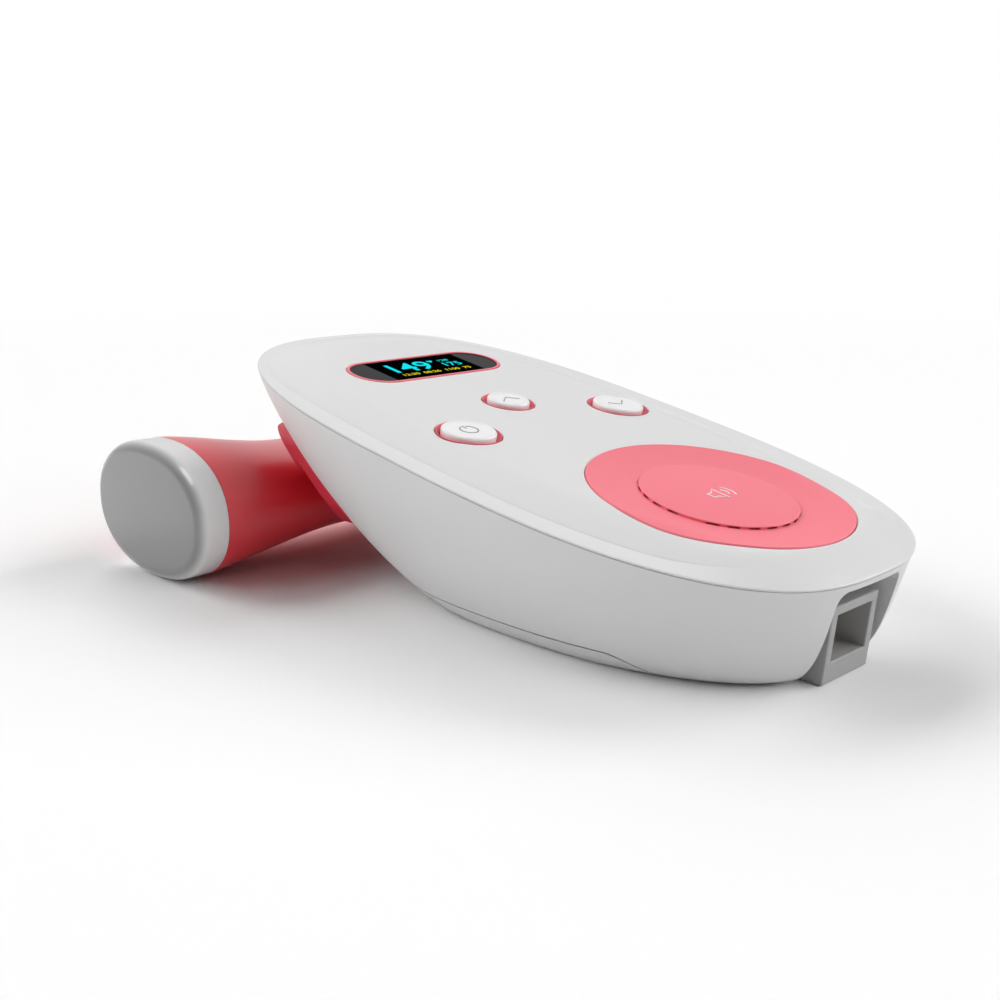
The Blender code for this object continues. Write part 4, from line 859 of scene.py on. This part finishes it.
def fitted_text(name, text, left, right, low, high, level, look):
    """Lit figures, stretched to fill a place on the screen."""
    curve = bpy.data.curves.new(name, "FONT")
    curve.body = text
    curve.size = high - low
    curve.offset = (high - low) * 0.012
    curve.resolution_u = 3
    shape = bpy.data.objects.new(name, curve)
    bpy.context.scene.collection.objects.link(shape)
    graph = bpy.context.evaluated_depsgraph_get()
    mesh = bpy.data.meshes.new_from_object(shape.evaluated_get(graph))
    bpy.data.objects.remove(shape)
    spots = [vertex.co for vertex in mesh.vertices]
    ends = [(min(spot[axis] for spot in spots), max(spot[axis] for spot in spots)) for axis in (0, 1)]
    for spot in spots:
        spot.x = left + (right - left) * (spot.x - ends[0][0]) / (ends[0][1] - ends[0][0])
        spot.y = low + (high - low) * (spot.y - ends[1][0]) / (ends[1][1] - ends[1][0])
        spot.z = level
    mesh.transform(DECK @ Matrix.Translation((0, DISPLAY_Y, 0)))
    dress(new_piece(name, mesh), "oled_glass", "main_unit", look=look)


def make_display():
    ceiling = DECK_RISE - COVER_WALL
    low = ceiling - GAP - FLANGE_THICKNESS
    half = DISPLAY_HALF_STRAIGHT
    bezel = prisms("display_rim", [pill(half, DISPLAY_RADIUS, DISPLAY_Y)], low, DECK_RISE + TRIM_STAND,
                   matrix=DECK)
    inner = DISPLAY_RADIUS - DISPLAY_RIM
    bore = prisms("rim_bore", [pill(half, inner, DISPLAY_Y)], low - OVERRUN, DECK_RISE + OVERRUN, matrix=DECK)
    carve(bezel, bore)
    dress(bezel, "coral", "main_unit", "display_bezel")
    top = DECK_RISE - WINDOW_SINK
    window = prisms("window_lens", [pill(half, inner - WINDOW_GAP, DISPLAY_Y)], DECK_RISE - WINDOW_LOW, top,
                    matrix=DECK)
    dress(window, "smoked_window", "main_unit", "display_window")
    screen = box("lit_screen", (-SCREEN_HALF, DISPLAY_Y - inner + SCREEN_MARGIN, top),
                 (SCREEN_HALF, DISPLAY_Y + inner - SCREEN_MARGIN, top + SCREEN_THICKNESS), DECK)
    dress(screen, "oled_glass", "main_unit", look=SCREEN_BLACK)
    figures = (
        ("149", -0.0087, 0.0020, -0.0016, 0.0036, CYAN),
        ("128", 0.0056, 0.0083, 0.0020, 0.0031, CYAN),
        ("175", 0.0051, 0.0097, -0.0012, 0.0010, CYAN),
        ("12:30  08:26  1100  75", -0.0086, 0.0097, -0.0038, -0.0026, YELLOW),
    )
    for number, (text, left, right, bottom, upper, look) in enumerate(figures, 1):
        fitted_text(f"screen_figures_{number}", text, left, right, bottom, upper, top + FIGURES_LEVEL, look)
    heart = [(0.0034, 0.0020), (0.0041, 0.0027), (0.0041, 0.0031), (0.0038, 0.0033),
             (0.0034, 0.0030), (0.0030, 0.0033), (0.0027, 0.0031), (0.0027, 0.0027)]
    placed = [(x, DISPLAY_Y + y) for x, y in heart]
    sign = prisms("screen_heart", [placed], top + HEART_LOW, top + FIGURES_LEVEL, matrix=DECK)
    dress(sign, "oled_glass", "main_unit", look=CYAN)


def stroke_mesh(name, strokes, width, height, matrix):
    """Flat inked lines with square ends: each stroke is a list of points and whether it closes."""
    shape = bmesh.new()
    for points, closed in strokes:
        count = len(points)
        rails = [[], []]
        for k, (x, y) in enumerate(points):
            before = points[(k - 1) % count] if closed or k > 0 else points[k]
            after = points[(k + 1) % count] if closed or k < count - 1 else points[k]
            run = Vector((after[0] - before[0], after[1] - before[1])).normalized()
            for rail, side in zip(rails, (1, -1)):
                rail.append((x - run.y * side * width / 2, y + run.x * side * width / 2))
        spans = range(count if closed else count - 1)
        levels = [[[shape.verts.new((x, y, level)) for x, y in rail] for rail in rails]
                  for level in (0, height)]
        for k in spans:
            n = (k + 1) % count
            for low, high in ((levels[0][0], levels[1][0]), (levels[0][1], levels[1][1])):
                shape.faces.new((low[k], low[n], high[n], high[k]))
            for level in levels:
                shape.faces.new((level[0][k], level[0][n], level[1][n], level[1][k]))
        if not closed:
            for k in (0, count - 1):
                shape.faces.new((levels[0][0][k], levels[0][1][k], levels[1][1][k], levels[1][0][k]))
    return new_piece(name, new_mesh(name, shape, matrix))


def arc(radius, start, end, steps=28, x=0.0, y=0.0):
    return [(x + radius * math.sin(math.radians(start + (end - start) * k / steps)),
             y + radius * math.cos(math.radians(start + (end - start) * k / steps))) for k in range(steps + 1)]


def key_marks(name):
    """Strokes of a key's sign: a standby sign, or an arrow up or down."""
    if name == "power":
        return [(arc(0.0017, 20, 340), False), ([(0, 0.0007), (0, 0.0020)], False)]
    tip = 0.0009 if name == "up" else -0.0009
    return [([(-0.0022, -tip), (0, tip), (0.0022, -tip)], False)]


def make_keys():
    ceiling = DECK_RISE - COVER_WALL
    ring_low = ceiling - GAP - FLANGE_THICKNESS
    for name, x, y, radius in KEYS:
        at = DECK @ Matrix.Translation((x, y, 0))
        bore = radius - RING_WIDTH
        top = DECK_RISE + RING_STAND
        profile = [(bore, top - RING_SINK)]
        for k in range(1, EDGE_STEPS + 1):
            share = k / EDGE_STEPS
            profile.append((bore + (RING_WIDTH - RING_FLAT) * share,
                            top - RING_SINK + (RING_SINK - RING_SLOPE_TOP) * share ** RING_POWER))
        ring_high = ring_low + FLANGE_THICKNESS
        profile += [(radius - RING_EDGE, top), (radius, top - RING_EDGE), (radius, ring_high),
                    (radius + FLANGE_WIDTH, ring_high), (radius + FLANGE_WIDTH, ring_low), (bore, ring_low)]
        ring = lay_on_deck(turned(f"{name}_ring", profile, at, ring=True))
        dress(ring, "coral", "main_unit", f"{name}_button_ring", look=RING_CORAL)
        cap = bore - GAP / 2
        crown = DECK_RISE + KEY_PROUD
        profile = [(0, crown - KEY_DISH)]
        dish = cap - KEY_EDGE - KEY_DISH_INSET
        for k in range(1, EDGE_STEPS + 1):
            share = k / EDGE_STEPS
            profile.append((dish * share, crown - KEY_DISH + KEY_DISH_RISE * share ** 4))
        profile += [(dish + KEY_LIP_RUN, crown - KEY_LIP_DROP), (dish + 2 * KEY_LIP_RUN, crown)]
        for k in range(EDGE_STEPS + 1):
            angle = math.pi / 2 * k / EDGE_STEPS
            profile.append((cap - KEY_EDGE + KEY_EDGE * math.sin(angle),
                            crown - KEY_EDGE + KEY_EDGE * math.cos(angle)))
        flange = cap + KEY_FLANGE_WIDTH
        flange_top = ring_low - GAP
        flange_low = flange_top - FLANGE_THICKNESS
        stem_low = flange_top - STEM_LENGTH
        profile += [(cap, flange_top), (flange, flange_top), (flange, flange_low), (STEM_RADIUS, flange_low),
                    (STEM_RADIUS, stem_low), (0, stem_low)]
        dress(lay_on_deck(turned(f"{name}_cap", profile, at)), "key_white", f"{name}_key", f"{name}_button")
        marks = stroke_mesh(f"{name}_mark", key_marks(name), KEY_MARK_WIDTH, KEY_MARK_HEIGHT,
                            at @ Matrix.Translation((0, 0, crown - KEY_MARK_SINK)))
        dress(lay_on_deck(marks), "key_white", f"{name}_key", look=MARK_GREY)


def make_panel():
    at = DECK @ Matrix.Translation((0, SPEAKER_Y, 0))
    top = DECK_RISE + TRIM_STAND
    low = top - PANEL_THICKNESS
    dish = top - DISH_DEPTH
    disc_top = dish + DISC_RISE
    edge = DISC_RADIUS - DISC_EDGE
    profile = [(0, disc_top + DISC_CROWN)]
    for k in range(1, EDGE_STEPS + 1):
        share = k / EDGE_STEPS
        profile.append((edge * share, disc_top + DISC_CROWN * (1 - share ** 2)))
    for k in range(1, EDGE_STEPS + 1):
        angle = math.pi / 2 * k / EDGE_STEPS
        profile.append((edge + DISC_EDGE * math.sin(angle), disc_top - DISC_EDGE * (1 - math.cos(angle))))
    profile.append((DISC_RADIUS, dish))
    steps = 12
    for k in range(1, steps + 1):
        share = k / steps
        radius = DISC_RADIUS + (PANEL_RADIUS - PANEL_EDGE - DISC_RADIUS) * share
        profile.append((radius, dish + DISH_DEPTH * share ** DISH_POWER))
    outer, inner = DISC_RADIUS + PANEL_SKIRT_OUTER, DISC_RADIUS + PANEL_SKIRT_INNER
    skirt_low = low - PANEL_SKIRT_HEIGHT
    profile += [(PANEL_RADIUS, top - PANEL_EDGE), (PANEL_RADIUS, low), (outer, low), (outer, skirt_low),
                (inner, skirt_low), (inner, low), (0, low)]
    panel = turned("speaker_face", profile, at, steps=128)
    slots = []
    half = SLOT_LENGTH / 2 / DISC_RADIUS
    inner, outer = DISC_RADIUS - SLOT_DEPTH, DISC_RADIUS + SLOT_OVERCUT
    for number in range(SLOT_PLACES):
        if number in SLOT_BLANKS:
            continue
        angle = math.tau * number / SLOT_PLACES - math.pi / 2
        corners = ((inner, -half), (outer, -half), (outer, 0), (outer, half), (inner, half), (inner, 0))
        slots.append([(radius * math.cos(angle + turn), radius * math.sin(angle + turn))
                      for radius, turn in corners])
    carve(panel, prisms("sound_slots", slots, low - OVERRUN, dish + SLOT_RISE, matrix=at))
    dress(lay_on_deck(panel), "coral", "main_unit", "speaker_panel")
    horn = [([(-0.0023, 0.0008), (-0.0012, 0.0008), (0.0003, 0.0020), (0.0003, -0.0020), (-0.0012, -0.0008),
              (-0.0023, -0.0008)], True),
            (arc(0.0013, 40, 140, x=0.0007), False), (arc(0.0025, 45, 135, x=0.0007), False)]
    mark = stroke_mesh("panel_mark", horn, PANEL_MARK_WIDTH, PANEL_MARK_HEIGHT,
                       at @ Matrix.Translation((0, 0, disc_top + DISC_CROWN - PANEL_MARK_SINK)))
    dress(mark, "coral", "main_unit", look=MARK_WHITE)


# Probe

def make_handle():
    skin = handle_rings(0) + list(reversed(handle_rings(PROBE_WALL)))
    dress(loft("handle_grip", skin, PROBE, closed=True), "handle_coral", "probe", "probe_handle")


def cap_piece(name, side):
    """Cup that closes an end of the probe, with a lip inside the handle."""
    seam = PROBE_LENGTH / 2 - CAP_LENGTH + GAP / 20
    end = PROBE_LENGTH / 2
    path = [(seam, CAP_SEAM_EDGE), (seam + CAP_SEAM_EDGE, 0)]
    steps = 14
    for k in range(steps + 1):
        angle = math.pi / 2 * k / steps
        path.append((end - CAP_EDGE * (1 - math.sin(angle)), CAP_EDGE * (1 - math.cos(angle))))
    lip = PROBE_WALL + GAP
    path = list(reversed(path)) + [(seam, lip), (seam - CAP_LIP, lip), (seam - CAP_LIP, lip + CAP_WALL),
                                   (end - CAP_WALL, lip + CAP_WALL)]
    rings = [probe_ring(side * x, PROBE_HALF_DEPTH - inset, PROBE_HALF_HEIGHT - inset) for x, inset in path]
    return loft(name, rings, PROBE)


def make_caps():
    dress(cap_piece("sensing_cap", -1), "key_white", "probe", "probe_face", look=SENSING_CAP_PAINTED_SHADE)
    far = cap_piece("far_cap", 1)
    outward = PROBE @ Matrix.Translation((PROBE_LENGTH / 2, 0, 0)) @ Matrix.Rotation(math.pi / 2, 4, "Y")
    carve(far, rod("inlet_hole", INLET_RADIUS + GAP, -OVERRUN, OVERRUN, outward, 48))
    dress(far, "key_white", "probe", "probe_end_cap", look=END_CAP_PAINTED_SHADE)
    top = BUSHING_PROUD
    low = top - BUSHING_LENGTH
    flange = INLET_RADIUS + BUSHING_FLANGE
    profile = [(INLET_BORE, top), (flange - BUSHING_EDGE, top), (flange, top - BUSHING_EDGE), (flange, GAP),
               (INLET_RADIUS, GAP), (INLET_RADIUS, low), (INLET_BORE, low)]
    dress(turned("lead_bushing", profile, outward, 48, ring=True), "rubber_grey", "probe", "probe_inlet")


# Inner pieces kept from the CAD, floor, lights and camera

def dress_cad():
    slots = {entry["node"]: entry["material_slot"] for entry in frame["record"]["subparts"]}
    for name, piece in frame["nodes"].items():
        look = LOOKS[slots[name]]
        piece.data.materials.clear()
        piece.data.materials.append(look)


def make_floor():
    """White floor that takes the shadow; far out the camera sees plain white, as in the backdrop."""
    shape = bmesh.new()
    bmesh.ops.create_grid(shape, x_segments=1, y_segments=1, size=FLOOR_SIZE)
    floor = new_piece("studio_floor", new_mesh("studio_floor", shape))
    floor.location.z = -FLOOR_DROP
    made = bpy.data.materials.new("studio_white")
    made.use_nodes = True
    tree = made.node_tree
    shader = tree.nodes["Principled BSDF"]
    shader.inputs["Base Color"].default_value = (0.98, 0.98, 0.98, 1)
    shader.inputs["Roughness"].default_value = 0.9
    shader.inputs["Specular IOR Level"].default_value = 0.0
    place = node(tree, "ShaderNodeTexCoord")
    reach = node(tree, "ShaderNodeVectorMath", operation="LENGTH")
    tree.links.new(place.outputs["Object"], reach.inputs[0])
    far = node(tree, "ShaderNodeMapRange")
    far.interpolation_type = "SMOOTHSTEP"
    far.inputs["From Min"].default_value = FLOOR_FADE_START
    far.inputs["From Max"].default_value = FLOOR_FADE_END
    tree.links.new(reach.outputs["Value"], far.inputs["Value"])
    path = node(tree, "ShaderNodeLightPath")
    share = node(tree, "ShaderNodeMath", operation="MULTIPLY")
    tree.links.new(far.outputs["Result"], share.inputs[0])
    tree.links.new(path.outputs["Is Camera Ray"], share.inputs[1])
    white = node(tree, "ShaderNodeEmission")
    blend = node(tree, "ShaderNodeMixShader")
    tree.links.new(share.outputs["Value"], blend.inputs["Fac"])
    tree.links.new(shader.outputs["BSDF"], blend.inputs[1])
    tree.links.new(white.outputs["Emission"], blend.inputs[2])
    tree.links.new(blend.outputs["Shader"], tree.nodes["Material Output"].inputs["Surface"])
    floor.data.materials.append(made)


def sun_light(name, azimuth, elevation, strength, mirrored, width=LAMP_WIDTH, lit=True):
    """Wide soft lamp; at a strength of 1 a white surface square to it comes out white."""
    light = bpy.data.lights.new(name, "SUN")
    light.energy = strength * math.pi
    light.angle = math.radians(width)
    lamp = bpy.data.objects.new(name, light)
    turn, rise = math.radians(azimuth), math.radians(elevation)
    source = Vector((math.cos(rise) * math.cos(turn), math.cos(rise) * math.sin(turn), math.sin(rise)))
    lamp.rotation_euler = source.to_track_quat("Z", "Y").to_euler()
    lamp.visible_glossy = mirrored
    lamp.visible_diffuse = lit
    bpy.context.scene.collection.objects.link(lamp)


def make_world():
    """White backdrop for the camera, and a plain white surround that lights and is mirrored."""
    world = bpy.data.worlds.new("studio_world")
    bpy.context.scene.world = world
    world.use_nodes = True
    tree = world.node_tree
    tree.nodes.clear()
    path = node(tree, "ShaderNodeLightPath")
    levels = []
    for strength in (FILL_LEVEL, MIRROR_LEVEL, 1.0):
        level = node(tree, "ShaderNodeBackground")
        level.inputs["Color"].default_value = (1, 1, 1, 1)
        level.inputs["Strength"].default_value = strength
        levels.append(level.outputs["Background"])
    mirrored = node(tree, "ShaderNodeMixShader")
    tree.links.new(path.outputs["Is Glossy Ray"], mirrored.inputs["Fac"])
    tree.links.new(levels[0], mirrored.inputs[1])
    tree.links.new(levels[1], mirrored.inputs[2])
    seen = node(tree, "ShaderNodeMixShader")
    tree.links.new(path.outputs["Is Camera Ray"], seen.inputs["Fac"])
    tree.links.new(mirrored.outputs["Shader"], seen.inputs[1])
    tree.links.new(levels[2], seen.inputs[2])
    out = node(tree, "ShaderNodeOutputWorld")
    tree.links.new(seen.outputs["Shader"], out.inputs["Surface"])


def make_camera():
    data = bpy.data.cameras.new("photo_camera")
    data.sensor_width = SENSOR_WIDTH
    data.lens = FOCAL_SHARE * SENSOR_WIDTH
    data.clip_start = 0.01
    camera = bpy.data.objects.new("photo_camera", data)
    camera.location = CAMERA_PLACE
    camera.rotation_euler = [math.radians(turn) for turn in CAMERA_TURN]
    bpy.context.scene.collection.objects.link(camera)
    bpy.context.scene.camera = camera


dress_cad()
make_cover()
make_housing()
make_door()
make_cradle()
make_socket()
make_display()
make_keys()
make_panel()
make_handle()
make_caps()
make_floor()
make_world()
for number, (azimuth, elevation, strength, mirrored) in enumerate(LAMPS, 1):
    sun_light(f"soft_lamp_{number}", azimuth, elevation, strength, mirrored)
sun_light("softbox", *SOFTBOX, True, SOFTBOX_WIDTH, False)
make_camera()
bpy.context.scene.view_settings.view_transform = "Standard"
